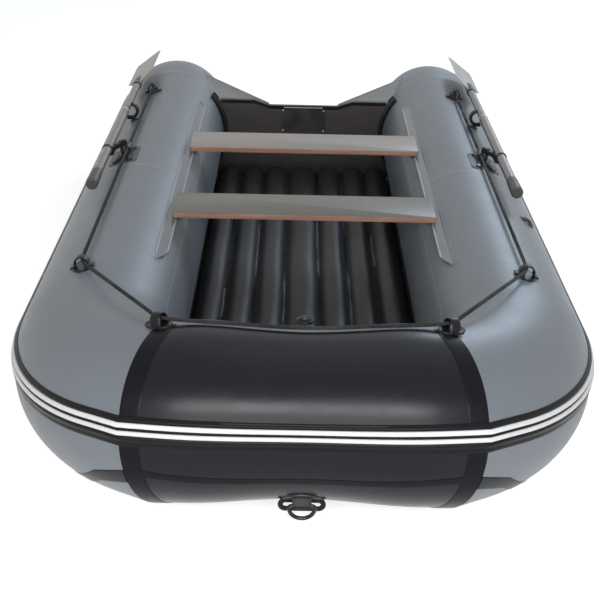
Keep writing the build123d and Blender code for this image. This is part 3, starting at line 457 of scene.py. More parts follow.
def moulded(name, colour, sheen, drift=0.3, pebble=500, bump=0.15, specular=0.5, metal=0.0):
    """Material of moulded rubber, plastic or drawn tube, with the shared moulded look behind it."""
    values = {"Colour": (*colour, 1), "Drift": drift, "Sheen": sheen, "Pebble": pebble}
    return finish(name, moulded_tree, values, bump, 0.0004, specular, metal)


strake_black = moulded("strake_rubber", (0.008, 0.008, 0.009), 0.32, specular=0.14)
stripe_white = moulded("stripe_white", (0.80, 0.80, 0.81), 0.4, drift=0.04, specular=0.2)
lower_band = [(-10.4, -1), (-10.4, 1.2), (-10.1, 2.2), (-8.6, 2.4), (-7.4, 2.6)]
lower_lip = [(-6.6, 5.4), (-5.9, 7.0), (-5.2, 7.3), (-4.3, 6.4)]
stripe_bed = [(-3.5, 5.2), (-2.2, 5.2), (-0.4, 5.2), (0.4, 5.2), (2.2, 5.2), (3.9, 5.2)]
upper_lip = [(4.4, 6.6), (4.9, 7.7), (5.5, 7.8), (6.0, 6.6), (6.4, 4.0), (7.2, 3.6), (7.6, 2.2), (7.6, -1)]
strake_profile = lower_band + lower_lip + stripe_bed + upper_lip
ring_strip("strake_base", strake_profile, strake_black, "strake_rubber", "rubbing_strake")
stripe_foot, stripe_edge, stripe_crown = 4.8, 6.0, 4.6
for name, low, high in (("upper", 0.9, 3.9), ("lower", -3.5, -0.9)):
    turns = np.linspace(0, pi, 9)[1:-1]
    across = (low + high) / 2 - (high - low) / 2 * np.cos(turns)
    crown = zip(across, stripe_edge + stripe_crown * np.sin(turns) ** 0.5)
    profile = [(low, stripe_foot), *crown, (high, stripe_foot)]
    ring_strip(f"strake_{name}_stripe", profile, stripe_white, "stripe_white", "strake_stripes")

# ---------------------------------------------------------------- bottom
# The skin under the boat, in heavy black cloth, shaped by the floor's ribs that press on it from
# above. It is glued to the tubes under a wide tape and sweeps up to the bow.
rib_widths = (0.126, 0.106, 0.104, 0.104)
half_ribs = np.cumsum([rib_widths[0] / 2, *rib_widths[1:]])
rib_edges = np.concatenate([-half_ribs[::-1], half_ribs])
bottom_stern, bottom_bow, sweep_y = 1.112, -1.330, -0.900
sweep_end = (-1.375, 0.092)


def rib_crown(x, sharpness=1.0):
    """How far across its rib a place is, as a crown: 1 on the crest and 0 in the valley, by an arc."""
    which = np.clip(np.searchsorted(rib_edges, x, side="right") - 1, 0, len(rib_edges) - 2)
    low, high = rib_edges[which], rib_edges[which + 1]
    off = np.clip((2 * x - low - high) / (high - low), -1, 1)
    return (1 - off**2) ** sharpness


def sweep_height(y):
    """Rise of the bottom towards the bow: an arc that leaves level tangentially."""
    run = sweep_y - np.minimum(y, sweep_y)
    full_run, full_rise = sweep_y - sweep_end[0], sweep_end[1]
    arc_r = (full_run**2 + full_rise**2) / (2 * full_rise)
    return arc_r - np.sqrt(arc_r**2 - run**2)


skin_half, skin_inset, valley = 0.556, 0.045, 0.014
flank_end, flank_dip, flank_rise = 0.56, 0.025, 0.020
flat_end, skin_top, bow_top, skin_thick = -1.236, 0.056, 0.150, 0.004
stations = [np.linspace(bottom_stern, sweep_y, 40), np.linspace(sweep_y, bottom_bow, 22)[1:]]
stations = np.concatenate(stations)[:, None]
turn_reach = (corner_r - skin_inset) ** 2 - (stations - corner_y) ** 2
turn_half = corner_centre[0] + np.sqrt(np.maximum(turn_reach, 1e-4))
x = np.linspace(-1, 1, 141)[None, :] * np.where(stations > corner_y, skin_half, turn_half)
flank = np.clip((np.abs(x) - half_ribs[-1]) / (flank_end - half_ribs[-1]), 0, 1)
beside = valley - flank_dip * flank * (1 - flank) + flank_rise * flank**2
under = np.where(np.abs(x) < half_ribs[-1], valley * (1 - rib_crown(x)), beside)
under = np.maximum(under + sweep_height(stations), 0.0005)
bottom_rows = np.stack([x, stations + 0 * x, under], -1)
above = np.where(stations > flat_end, skin_top, bow_top) + 0 * x
top_rows = np.stack([x, stations + 0 * x, np.maximum(above, under + skin_thick)], -1)[:, ::-1]
bottom_look = coated_cloth("bottom_cloth", (0.013, 0.013, 0.015), 0.42, drift=0.1)
bottom = surface("bottom_skin", np.concatenate([bottom_rows, top_rows], 1), bottom_look, sharp=60)
fit(bottom, "hull", "bottom_black", "hull_bottom")

tape_bow, tape_side, tape_half = radians(-9), radians(-48), radians(5.4)
tape_count, tape_fall = 87, 14
for side, flip in sides:

    def along_bottom(share, rise):
        """Rows along the outside of the tube, low down: the tape leaves the bow seam high and falls over
        the corner by a quarter of a sine wave, then runs level to the stern cone."""
        row = np.arange(tape_count)[:, None]
        middle = tape_bow + (tape_side - tape_bow) * np.sin(np.clip(row / tape_fall, 0, 1) * pi / 2)
        angles = np.linspace(tape_bow + tape_half, tape_side - tape_half, 40)
        grid = tube_rows(angles, 0.0)[:tape_count]
        raised = tube_rows(angles, 0.001)[:tape_count]
        wanted = middle + (share[None, :] - 0.5) * 2 * tape_half
        spot = np.clip((wanted - angles[0]) / (angles[1] - angles[0]), 0, len(angles) - 1.001)
        low = spot.astype(int)
        part = (spot - low)[..., None]
        skin = grid[row, low] * (1 - part) + grid[row, low + 1] * part
        out = (raised[row, low] * (1 - part) + raised[row, low + 1] * part - skin) / 0.001
        return (skin + out * rise[None, :, None]) * flip

    plain = ("bottom_seam_tapes",)
    strip(f"{side}_bottom_tape", along_bottom, 4, tape_look, height=0.0018, slot="tape_black", plain=plain)

# ---------------------------------------------------------------- air floor
# The floor is an inflated mat laid on the bottom: two skins of charcoal cloth, welded together in
# lines so that it blows up into seven long ribs with deep valleys between them.
floor_edge, floor_base = half_ribs[-1], 0.0565
floor_bow, floor_stern, rib_top, rib_rise = -1.235, 1.040, 0.120, 0.032
end_round = 0.05
curl = end_round * (1 - np.cos(np.linspace(0, pi / 2, 8)))
run = np.linspace(floor_bow + 0.06, floor_stern - 0.06, 150)
y = np.concatenate([floor_bow + curl, run, floor_stern - curl[::-1]])[:, None]
x = np.linspace(-floor_edge, floor_edge, 7 * 20 + 1)[None, :]
wander = 0.0010 * np.sin(5 * y + 3 * x) + 0.0006 * np.sin(11 * y - 5 * x + 1)
off_edge = np.abs(x) < floor_edge - 0.02
crown = rib_crown(np.clip(x + wander * off_edge, -floor_edge, floor_edge), 0.62)
end_drop = np.clip(np.minimum(y - floor_bow, floor_stern - y) / end_round, 0, 1)
end_drop = np.sqrt(np.maximum(1 - (1 - end_drop) ** 2, 0))
pucker = 0.0008 * np.sin(61 * y + 7 * x) * (1 - crown) + 0.0005 * np.sin(13 * y) * crown
swelling = rib_top - rib_rise - floor_base + rib_rise * crown + pucker
top = floor_base + swelling * np.maximum(end_drop, 0.05)
mat_top = np.stack([x + 0 * y, y + 0 * x, np.minimum(top, rib_top)], -1)
mat_base = np.stack([x + 0 * y, y + 0 * x, floor_base + 0 * top], -1)[:, ::-1]
floor_look = coated_cloth("air_floor_cloth", (0.016, 0.016, 0.018), 0.36, drift=0.2, specular=0.16)
mat = surface("air_floor_skin", np.concatenate([mat_top, mat_base], 1), floor_look, sharp=60)
fit(mat, "hull", "floor_charcoal", "air_floor")

# ---------------------------------------------------------------- transom
# A thick plywood board, stained nearly black and sealed, that stands across the stern and carries
# the outboard motor. A soft black edging runs along its top.
transom_y, transom_top, cut_drop = 1.092, 0.404, 0.022
transom_thick, rake = 0.030, radians(5)
level_x, shoulder_x = 0.150, 0.215
board_origin = np.array([0, transom_y, transom_top])
board_up = np.array([0, sin(rake), cos(rake)])
board_front = np.array([0, -cos(rake), sin(rake)])
cross = np.array([1.0, 0, 0])


def board_point(x, up, front):
    """Point on the raked board: across, up along its face from the shoulders, and forward of its middle."""
    x, up, front = np.broadcast_arrays(x, up, front)
    return board_origin + x[..., None] * cross + up[..., None] * board_up + front[..., None] * board_front


def top_line(x):
    """Height of the board's top edge: level cut-out, straight slopes and shoulders, blended a little."""
    offsets = np.linspace(-0.007, 0.007, 9)
    shape = [np.interp(np.abs(x + off), [level_x, shoulder_x], [-cut_drop, 0]) for off in offsets]
    return np.mean(shape, 0)


def blend(tree, share, first, second):
    """Colour between two others: the share says how far from the first to the second."""
    return node(tree, "Mix", {0: share, 6: first, 7: second}, data_type="RGBA").outputs[2]


# Stained board: long streaks of tone along the grain under a satin varnish, and faint pores.
grain_tree, given, result = look_group(
    "board_grain",
    (
        ("Colour", "Color", (0.1, 0.1, 0.1, 1)),
        ("Streak", "Color", (0.2, 0.1, 0.1, 1)),
        ("Amount", "Float", 0.5),
        ("Stretch", "Vector", (1, 12, 12)),
        ("Sheen", "Float", 0.35),
    ),
    (("Colour", "Color"), ("Roughness", "Float"), ("Height", "Float")),
)
place = node(grain_tree, "TexCoord").outputs["Object"]
drawn = node(grain_tree, "VectorMath", {0: place, 1: given["Stretch"]}, operation="MULTIPLY")
long_noise = {"Vector": drawn.outputs[0], "Scale": 6, "Detail": 6, "Distortion": 0.4}
streaks = node(grain_tree, "TexNoise", long_noise)
pores = node(grain_tree, "TexNoise", {"Vector": drawn.outputs[0], "Scale": 60, "Detail": 3})
spread = {"From Min": 0.35, "From Max": 0.7}
share = node(grain_tree, "MapRange", {"Value": streaks.outputs["Fac"], **spread}).outputs[0]
share = maths(grain_tree, "MULTIPLY", share, given["Amount"])
grain_tree.links.new(blend(grain_tree, share, given["Colour"], given["Streak"]), result["Colour"])
spread = {"To Min": -0.05, "To Max": 0.05}
rough = node(grain_tree, "MapRange", {"Value": pores.outputs["Fac"], **spread}).outputs[0]
grain_tree.links.new(maths(grain_tree, "ADD", rough, given["Sheen"]), result["Roughness"])
grain_tree.links.new(pores.outputs["Fac"], result["Height"])


def grained(colour, streak, amount, stretch, sheen):
    """Values for the board grain look: two colours, the streaks' strength and stretch, and the sheen."""
    values = {"Colour": (*colour, 1), "Streak": (*streak, 1), "Amount": amount}
    return {**values, "Stretch": stretch, "Sheen": sheen}


def dress(name, look):
    """Give a CAD node's mesh this material in place of its plain one."""
    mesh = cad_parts[name].data
    mesh.materials.clear()
    mesh.materials.append(look)


stained = grained((0.020, 0.016, 0.016), (0.040, 0.030, 0.029), 0.8, (1.2, 9, 9), 0.42)
transom_look = finish("transom_board", grain_tree, stained, 0.08, 0.0005)
dress("transom", transom_look)

edging_wall, edging_drop, edging_reach, edging_bite = 0.0022, 0.013, 0.366, 0.0005
reach = np.linspace(-edging_reach, edging_reach, 160)[:, None]
half = transom_thick / 2
turned = np.linspace(0, pi, 9)
legs = np.array([half - edging_bite, half + edging_wall])
front = np.concatenate([legs, legs[1] * np.cos(turned), -legs[::-1], half * np.cos(turned[::-1])])
feet = [-edging_drop, -edging_drop]
rise = np.concatenate([feet, edging_wall * np.sin(turned), feet, 0 * turned - 0.0004])
edging_rows = board_point(reach, top_line(reach) + rise[None, :], front[None, :])
fit(surface("transom_edging", edging_rows, strake_black), "hull", "holder_rubber")

# ---------------------------------------------------------------- transom holders
# Rubber extrusions glued to the tubes, whose groove takes the board's ends. Each lip is highest
# against the board and thins out along the tube.
holder_look = moulded("holder_rubber", (0.008, 0.008, 0.009), 0.38, drift=0.3, specular=0.2)
lip_out, lip_bevel = 0.018, 0.002
arc = np.radians(np.linspace(139, 232, 60))[:, None]
out = np.array([-0.001, lip_out, lip_out, lip_out - lip_bevel, 0.004, 0.0015, -0.001])
face = half + np.array([0.0, 0.0, 0.0025, 0.0035, 0.0045, 0.016, 0.031])
out = np.concatenate([out, out[::-1]])
face = np.concatenate([face, -face[::-1]])
x = side_x + (tube_r + out) * np.cos(arc)
up = (side_z - transom_top) / cos(rake) + (tube_r + out) * np.sin(arc)
lip_rows = board_point(x, up, face)
for side, flip in sides:
    lips = surface(f"{side}_holder_lips", lip_rows * flip, holder_look, sharp=50)
    fit(lips, "hull", "holder_rubber", f"{side}_transom_holder")

# ---------------------------------------------------------------- webs
# A triangle of grey cloth each side ties the transom's top to the tube behind it: a hem runs along
# its free edge, and a tab glued to the tube takes the pull.
web_look = coated_cloth("web_cloth", (0.29, 0.295, 0.29), 0.5, drift=0.1)
web_mid_y, web_mid_angle = transom_y + 0.018, 145.5
web_high_y, web_high_angle = 1.290, 127


def tube_place(y, angle, height=0.0):
    """Point by the port side tube: angle in degrees up from straight outboard."""
    return side_point(np.array(y, float), np.radians(angle) + corner_tilt, np.array(height, float))


def tube_out(angle):
    """Direction straight out of the port side tube at an angle in degrees up from outboard."""
    return np.array([cos(radians(angle)), 0, sin(radians(angle))])


web_low = np.array([0.155, transom_y + 0.009, 0.3862])
web_mid = tube_place(web_mid_y, web_mid_angle, 0.001)
web_high = tube_place(web_high_y, web_high_angle, 0.001)
web_thick, web_sag, web_ripple = 0.0012, 0.006, 0.0012
hem_high, hem_half, tab_wide = 0.0024, 0.0034, 0.034
along = np.linspace(0, 1, 41)[:, None]
for side, flip in sides:
    across = np.linspace(0, 1, 21)[None, :]
    inner = web_mid + (web_high - web_mid) * across[..., None]
    flat = web_low + (inner - web_low) * along[..., None]
    ripple = web_ripple * np.sin(9 * along * across * pi) * along
    sag = web_sag * np.sin(pi * along) * np.sin(pi * across) + ripple
    normal = np.cross(web_mid - web_low, web_high - web_low)
    normal /= np.linalg.norm(normal) * np.sign(normal[2])
    upper = flat + normal * (web_thick - sag)[..., None]
    lower = (flat - normal * sag[..., None])[:, ::-1]
    web = surface(f"{side}_web", np.concatenate([upper, lower], 1) * flip, web_look)
    fit(web, "hull", "web_grey", f"{side}_transom_web")

    turned = circle(12)[None, :]
    edge = web_low + (web_high - web_low) * along[..., None]
    edge_side = np.cross(web_high - web_low, normal)
    edge_side /= np.linalg.norm(edge_side)
    hem_rows = edge + normal * (hem_high * np.sin(turned) + 0.001)[..., None]
    hem_rows = hem_rows + edge_side * (hem_half * np.cos(turned))[..., None]
    fit(surface(f"{side}_web_hem", hem_rows * flip, web_look), "hull", "web_grey")

    def tab_lines(share, rise):
        """Rows up the tube along the web's foot, wide at the board and narrow at the far end."""
        reach = np.linspace(-0.10, 1.12, 40)[:, None]
        middle = np.radians(web_mid_angle + (web_high_angle - web_mid_angle) * reach) + corner_tilt
        y = web_mid_y + (web_high_y - web_mid_y) * reach
        wide = tab_wide * np.clip(1.25 - reach, 0.15, 1) / tube_r
        return side_point(y, middle + (share[None, :] - 0.5) * wide, rise[None, :]) * flip

    strip(f"{side}_web_tab", tab_lines, 3, web_look, height=0.0012, slot="web_grey")

# ---------------------------------------------------------------- motor plates and drain plugs
# A moulded plate on each face of the board keeps the motor's clamp from biting the wood, held by
# four screws. Two rubber plugs close the drains low in the transom.
plate_look = moulded("motor_plate", (0.020, 0.017, 0.017), 0.33, drift=0.3)
dress("motor_pad", plate_look)
dress("outer_motor_plate", plate_look)
screw_look = moulded("screw_steel", (0.45, 0.44, 0.43), 0.3, drift=0.1, metal=0.9)


def turned_rows(centre, normal, aside, profile, count=24):
    """Rows of a turned piece: each profile point, as radius and height, swept round the normal."""
    turn = circle(count)
    radius, height = np.array(profile, float).T
    other = np.cross(normal, aside)
    ring = np.cos(turn)[:, None] * aside + np.sin(turn)[:, None] * other
    return centre + height[:, None, None] * normal + radius[:, None, None] * ring[None]


screw_profile = [(0.0046, 0.0), (0.0046, 0.0006), (0.0038, 0.0017), (0.0020, 0.0024), (0.0006, 0.0014)]
pad_z, pad_high, pad_half, screw_across, screw_up = 0.318, 0.0585, 0.086, 0.090, 0.045
pad_front, plate_back, plate_spread, plate_drop = half + 0.006, half + 0.004, 1.05, 0.03
for number, (right, up) in enumerate(((1, -1), (-1, -1), (1, 1), (-1, 1))):
    x, z = right * screw_across, pad_z + up * screw_up - transom_top
    at = board_point(x, z / cos(rake), pad_front)
    screw_rows = turned_rows(at, board_front, cross, screw_profile, 12)
    fit(surface(f"pad_screw_{number}", screw_rows, screw_look), "hull")
    at = board_point(x * plate_spread, (z - plate_drop) / cos(rake), -plate_back)
    screw_rows = turned_rows(at, -board_front, cross, screw_profile, 12)
    fit(surface(f"plate_screw_{number}", screw_rows, screw_look), "hull")
dress("drain_plugs", holder_look)
# A pale strip along the front pad's top edge is a painted highlight of that edge.
across = np.linspace(-pad_half, pad_half, 12)[:, None]
edge_up = np.array([-0.0008, 0.0016, 0.0016, -0.0008]) + (pad_z + pad_high - transom_top) / cos(rake)
edge_front = np.array([0.0006, 0.0006, -0.0052, -0.0052]) + pad_front
pad_highlight_look = moulded("painted_pad_highlight", (0.62, 0.61, 0.60), 0.35)
fit(surface("motor_pad_highlight_strip", board_point(across, edge_up, edge_front), pad_highlight_look), "hull")

# ---------------------------------------------------------------- benches
# Two plywood boards faced with a smooth grey-brown laminate. Their sawn edges are bare, so the
# plies show as pinkish stripes, and the corners are eased with a small round.
bench_size = (0.860, 0.180, 0.018)
bench_top, bench_corner, bench_ease = 0.480, 0.010, 0.0016
ply_pair, ply_waver = 0.0045, 0.0016


def rounded_outline(half_long, half_wide, corner, count=7):
    """Outline of a rectangle with quarter-circle corners, as two rows of coordinates."""
    turn = np.concatenate([np.linspace(0, pi / 2, count) + quarter * pi / 2 for quarter in range(4)])
    long = np.repeat([1, -1, -1, 1], count) * (half_long - corner) + corner * np.cos(turn)
    wide = np.repeat([1, 1, -1, -1], count) * (half_wide - corner) + corner * np.sin(turn)
    return long, wide


def board_rows(centre, size, corner, ease):
    """Rows of a flat board: its rounded outline at each level from bottom to top, drawn in by the ease
    at the first and last."""
    levels = [(0, ease), (ease * 0.3, ease * 0.3), (ease, 0)]
    levels += [(size[2] - height, draw) for height, draw in reversed(levels)]
    rows = []
    for height, draw in levels:
        x, y = rounded_outline(size[0] / 2 - draw, size[1] / 2 - draw, corner - draw, 10)
        rows.append(np.stack([centre[0] + x, centre[1] + y, centre[2] + height + 0 * x], -1))
    return np.array(rows)


def bench_material(name, face, face_streak):
    """Laminate on the faces and layered plies on the edges, told apart by which way the surface faces."""
    look = bpy.data.materials.new(name)
    look.use_nodes = True
    tree = look.node_tree
    shader = tree.nodes["Principled BSDF"]
    shader.inputs["Specular IOR Level"].default_value = 0.25
    facing = node(tree, "NewGeometry").outputs["Normal"]
    steep = node(tree, "SeparateXYZ", {0: facing}).outputs["Z"]
    steep = maths(tree, "ABSOLUTE", steep)
    is_face = node(tree, "MapRange", {"Value": steep, "From Min": 0.55, "From Max": 0.75}).outputs[0]
    laminate = placed_group(tree, grain_tree, grained(face, face_streak, 0.5, (0.6, 5, 5), 0.36))
    place = node(tree, "TexCoord").outputs["Object"]
    level = node(tree, "SeparateXYZ", {0: place}).outputs["Z"]
    waver = node(tree, "TexNoise", {"Vector": place, "Scale": 7, "Detail": 2}).outputs["Fac"]
    level = maths(tree, "MULTIPLY_ADD", waver, ply_waver, level)
    plies = maths(tree, "SINE", maths(tree, "MULTIPLY", level, 2 * pi / ply_pair))
    plies = node(tree, "MapRange", {"Value": plies, "From Min": -0.5, "From Max": 0.5}).outputs[0]
    bare_wood = grained((0.40, 0.24, 0.17), (0.24, 0.12, 0.085), 0.8, (1, 1, 14), 0.6)
    ends = placed_group(tree, grain_tree, bare_wood).outputs["Colour"]
    layered = blend(tree, plies, blend(tree, 0.35, ends, (0.12, 0.045, 0.035, 1)), ends)
    colour = blend(tree, is_face, layered, laminate.outputs["Colour"])
    sheen = {0: is_face, 2: 0.62, 3: laminate.outputs["Roughness"]}
    rough = node(tree, "Mix", sheen, data_type="FLOAT").outputs[0]
    relief = node(tree, "Bump", {"Height": laminate.outputs["Height"], "Strength": 0.05, "Distance": 0.0005})
    tree.links.new(colour, shader.inputs["Base Color"])
    tree.links.new(rough, shader.inputs["Roughness"])
    tree.links.new(relief.outputs["Normal"], shader.inputs["Normal"])
    return look


slider_look = moulded("slider_plastic", (0.10, 0.10, 0.10), 0.4)
# The two boards share one laminate: the rear board's colours are painted lighter as painted light, the front
# board's darker as painted shade.
for name, bench_y, face, streak in (
    ("front_bench", -0.323, (0.150, 0.138, 0.118), (0.195, 0.176, 0.152)),
    ("rear_bench", 0.320, (0.340, 0.305, 0.275), (0.420, 0.375, 0.335)),
):
    centre = (0, bench_y, bench_top - bench_size[2])
    look = bench_material(f"{name}_ply", face, streak)
    rows = board_rows(centre, bench_size, bench_corner, bench_ease)
    fit(surface(f"{name}_board", rows, look, sharp=35), name, "bench_board", name)
    dress(f"{name}_sliders", slider_look)

# ---------------------------------------------------------------- bench rails
# Along each tube runs a glued strip with a stiff flap, whose edge is a round bead that the benches'
# channels slide on. Both ends are cut to a point, and setting-out crosses mark where they start.
rail_start, rail_stop, rail_taper = -0.720, 0.885, 0.062
rail_angle, bead_x, bead_z, bead_r = 126.5, 0.414, 0.4525, 0.0038
rail_foot_wide, mark_long, mark_wide = radians(5), 0.044, 0.0012
rail_look = coated_cloth("rail_plastic", (0.150, 0.168, 0.180), 0.30, drift=0.15)
bead_look = coated_cloth("rail_bead", (0.30, 0.32, 0.33), 0.35, drift=0.1)
mark_look = coated_cloth("setting_out_ink", (0.03, 0.032, 0.035), 0.6)
y = np.linspace(rail_start, rail_stop, 161)[:, None]
wide = np.clip(np.minimum(y - rail_start, rail_stop - y) / rail_taper, 0.02, 1)
foot = tube_place(0, rail_angle)[[0, 2]]
bead = np.array([bead_x, bead_z])
pull = (bead - foot) / np.linalg.norm(bead - foot)
square = np.array([-pull[1], pull[0]])
turned = np.linspace(-2.4, 2.4, 11)
reach = np.linalg.norm(bead - foot) - bead_r
flap_ahead, flap_half = [-0.006, reach * 0.5, reach * 0.92], np.array([0.0012, 0.0012, 0.0013])
ahead = np.concatenate([flap_ahead, reach + bead_r * np.cos(turned), flap_ahead[::-1]])
beside = np.concatenate([-flap_half, bead_r * np.sin(turned), flap_half[::-1]])
section = foot + ahead[None, :, None] * wide[..., None] * pull
section = section + beside[None, :, None] * np.minimum(1, wide * 3)[..., None] * square
on_bead = (np.arange(len(ahead)) >= 3) & (np.arange(len(ahead)) < len(ahead) - 4)
flap_rows = np.stack([section[..., 0], y + 0 * ahead, section[..., 1]], -1)
for side, flip in sides:
    flap = surface(f"{side}_rail_flap", flap_rows * flip, rail_look)
    second_look(flap, bead_look, on_bead, len(y))
    fit(flap, "hull", "rail_grey", f"{side}_bench_rail")

    def rail_foot(share, rise):
        """Rows along the tube under the flap: the glued foot, wider than the flap is thick."""
        arc = np.radians(rail_angle) + corner_tilt + (share[None, :] - 0.5) * rail_foot_wide * wide
        return side_point(y, arc, rise[None, :]) * flip

    strip(f"{side}_rail_foot", rail_foot, 3, tube_look, height=0.0014, slot="tube_grey")

    for number, (tilt, shift) in enumerate(((62, 0.0), (118, 0.0), (0, -0.004))):

        def mark_lines(share, rise):
            """Rows along one short ink line drawn across the rail's tip."""
            tilt_angle = radians(tilt)
            along = np.linspace(-mark_long / 2, mark_long / 2, 8)[:, None]
            across = sin(tilt_angle) * along + (share[None, :] - 0.5) * mark_wide
            arc = np.radians(rail_angle) + corner_tilt + across / tube_r
            return side_point(rail_start + shift + cos(tilt_angle) * along, arc, rise[None, :]) * flip

        strip(f"{side}_tip_mark_{number}", mark_lines, 2, mark_look, height=0.0002)

# ---------------------------------------------------------------- oarlocks
# Glued to each tube on a cloth patch: a moulded base with four legs and a tapered boss, with a
# tunnel beside it for the lifeline. A lock turns on a pin in the boss and straps the oar.
pin_angle, pin_y, base_y = 74.6, 0.119, 0.082
pin_foot = tube_place(pin_y, pin_angle)
pin_up = tube_out(pin_angle)
pin_in = np.array([-pin_up[2], 0, pin_up[0]])
patch_half_y, patch_half_arc, patch_corner = 0.0825, 0.0535, 0.022
leg_tip, leg_side, leg_height = (0.072, 0.024), (0.060, 0.038), 0.009
leg_end_notch, leg_side_notch = 0.026, 0.014
boss_profile = [(0.0235, -0.002), (0.0228, 0.004), (0.0205, 0.010), (0.0180, 0.020), (0.0160, 0.0272)]
boss_profile += [(0.0150, 0.0288), (0.0120, 0.0290), (0.0064, 0.0290), (0.0063, 0.0270), (0.0063, 0.0120)]
tunnel_reach, tunnel_in, tunnel_up, rope_r = 0.025, 0.01506, 0.01750, 0.0055
clip_y, clip_wide, clip_foot_angle = 0.516, 0.030, 69.5
hook_at, hook_radii, hook_wall = (-0.028, 0.041), (0.030, 0.028), 0.0115
post_foot, post_head, post_wall = (-0.0230, -0.005), (-0.0260, 0.0140), 0.0160
clip_turn = np.radians(np.linspace(66, -125, 33))
hook_path = np.array(hook_at) + np.stack([np.cos(clip_turn), np.sin(clip_turn)], -1) * hook_radii
clip_bands = (("hook", hook_path, hook_wall), ("post", np.linspace(post_foot, post_head, 5), post_wall))
clip_disc = [(0.019, -0.006), (0.019, 0.0015), (0.0175, 0.0036), (0.0100, 0.0042), (0.0010, 0.0042)]
lock_cap = [(0.0152, 0), (0.0152, 0.0012), (0.0120, 0.0032), (0.0065, 0.0044), (0.0012, 0.0048)]
lock_top = 0.044
fitting_look = moulded("fitting_black", (0.007, 0.007, 0.008), 0.34, drift=0.3, specular=0.22)
patch_look = coated_cloth("patch_cloth", (0.062, 0.068, 0.075), 0.42, specular=0.2)


def glued_patch(y, angle, outline, height=0.0016):
    """Rows of a patch lying on a side tube: its outline drawn in to the middle ring by ring, with a
    small bevel, at this height off the skin."""
    long, wide = outline
    share = np.array([1.0, 1.0, 0.985, 0.8, 0.5, 0.2])[:, None]
    rise = np.array([-0.001, height * 0.5, height, height, height, height])[:, None]
    return side_point(y + share * long, np.radians(angle) + corner_tilt + share * wide / tube_r, rise)


def star_rows():
    """Rows of the four-legged foot: its outline shrunk towards the middle over a rising back."""
    leg = np.array([leg_tip, leg_side])
    half_way_round = np.concatenate([leg, [(0, leg_side_notch)], leg[::-1] * (-1, 1), [(-leg_end_notch, 0)]])
    outline = np.concatenate([half_way_round, -half_way_round])
    steps = np.linspace(0, 1, 7)[:-1][:, None]
    outline = np.concatenate([a + (b - a) * steps for a, b in zip(outline, np.roll(outline, -1, 0))])
    share = np.array([1.0, 1.0, 0.97, 0.90, 0.7, 0.45, 0.2])[:, None]
    back = np.array([0, 0.004, 0.0056, 0.0062, 0.0075, 0.009, 0.009])[:, None]
    along, across = share * outline[:, 0], share * outline[:, 1]
    skin = np.sqrt(tube_r**2 - across**2) - tube_r
    rise = np.where(back > 0, back + skin * (1 - back / leg_height), skin - 0.002)
    flat = pin_foot + (base_y - pin_y + along)[..., None] * aft + across[..., None] * pin_in
    return flat + rise[..., None] * pin_up


def band_rows(path, centre, beside, up, along, wide, thick, widen=1.0):
    """Rows of a flat band with rounded edges, carried along a path drawn in the plane of two directions,
    its width lying along the third."""
    run = np.gradient(path, axis=0)
    run /= np.linalg.norm(run, axis=1)[:, None]
    out = np.stack([run[:, 1], -run[:, 0]], -1)
    edge = np.linspace(-pi / 2, pi / 2, 5)
    half = wide / 2 - thick / 2 + thick / 2 * np.cos(edge)
    high = thick / 2 * np.sin(edge)
    section = np.concatenate([np.stack([half, high], -1), np.stack([-half, -high], -1)])
    flat = path[:, None, :] + section[None, :, 1, None] * out[:, None, :]
    width = section[None, :, 0] * np.broadcast_to(widen, len(path))[:, None]
    return centre + flat[..., 0, None] * beside + flat[..., 1, None] * up + width[..., None] * along


tunnel_mid = pin_foot + tunnel_in * pin_in + tunnel_up * pin_up
lip = [(0.001, -0.8), (0.001, -0.99), (0.0018, -1.03), (0.0042, -1.03)]
lip += [(0.0055, -0.97), (0.0050, -0.8), (0.0042, 0)]
lip = np.concatenate([lip, np.array(lip[-2::-1]) * (1, -1)]) + (rope_r, 0)
tunnel_rows = turned_rows(tunnel_mid, aft, pin_in, lip * (1, tunnel_reach))
tunnel_rows = np.concatenate([tunnel_rows, tunnel_rows[:1]])
for side, flip in sides:
    outline = rounded_outline(patch_half_y, patch_half_arc, patch_corner)
    patch = surface(f"{side}_oarlock_patch", glued_patch(base_y, pin_angle, outline) * flip, patch_look)
    foot = surface(f"{side}_oarlock_foot", star_rows() * flip, fitting_look, sharp=30)
    boss_rows = turned_rows(pin_foot, pin_up, aft, boss_profile, 48)
    boss = surface(f"{side}_oarlock_boss", boss_rows * flip, fitting_look, ends=False, sharp=50)
    tunnel = surface(f"{side}_rope_tunnel", tunnel_rows * flip, fitting_look, ends=False, sharp=50)
    fit(patch, "hull", "web_grey", f"{side}_oarlock_base")
    for piece in (foot, boss, tunnel):
        fit(piece, "hull", "fitting_black", f"{side}_oarlock_base")
    dress(f"{side}_oar_lock", fitting_look)
    clip_at = tube_place(clip_y, pin_angle)
    for part, path, wall in clip_bands:
        hook_rows = band_rows(path, clip_at, pin_in, pin_up, aft, clip_wide, wall)
        hook = surface(f"{side}_clip_{part}", hook_rows * flip, fitting_look, sharp=50)
        fit(hook, "hull", "fitting_black", f"{side}_oar_clip")
    disc_at = tube_place(clip_y, clip_foot_angle)
    disc_rows = turned_rows(disc_at, tube_out(clip_foot_angle), aft, clip_disc, 48)
    disc = surface(f"{side}_clip_foot", disc_rows * flip, fitting_look)
    fit(disc, "hull", "fitting_black", f"{side}_oar_clip")
    cap_rows = turned_rows(pin_foot + lock_top * pin_up, pin_up, aft, lock_cap)
    fit(surface(f"{side}_lock_cap", cap_rows * flip, fitting_look), f"{side}_oar", "fitting_black")

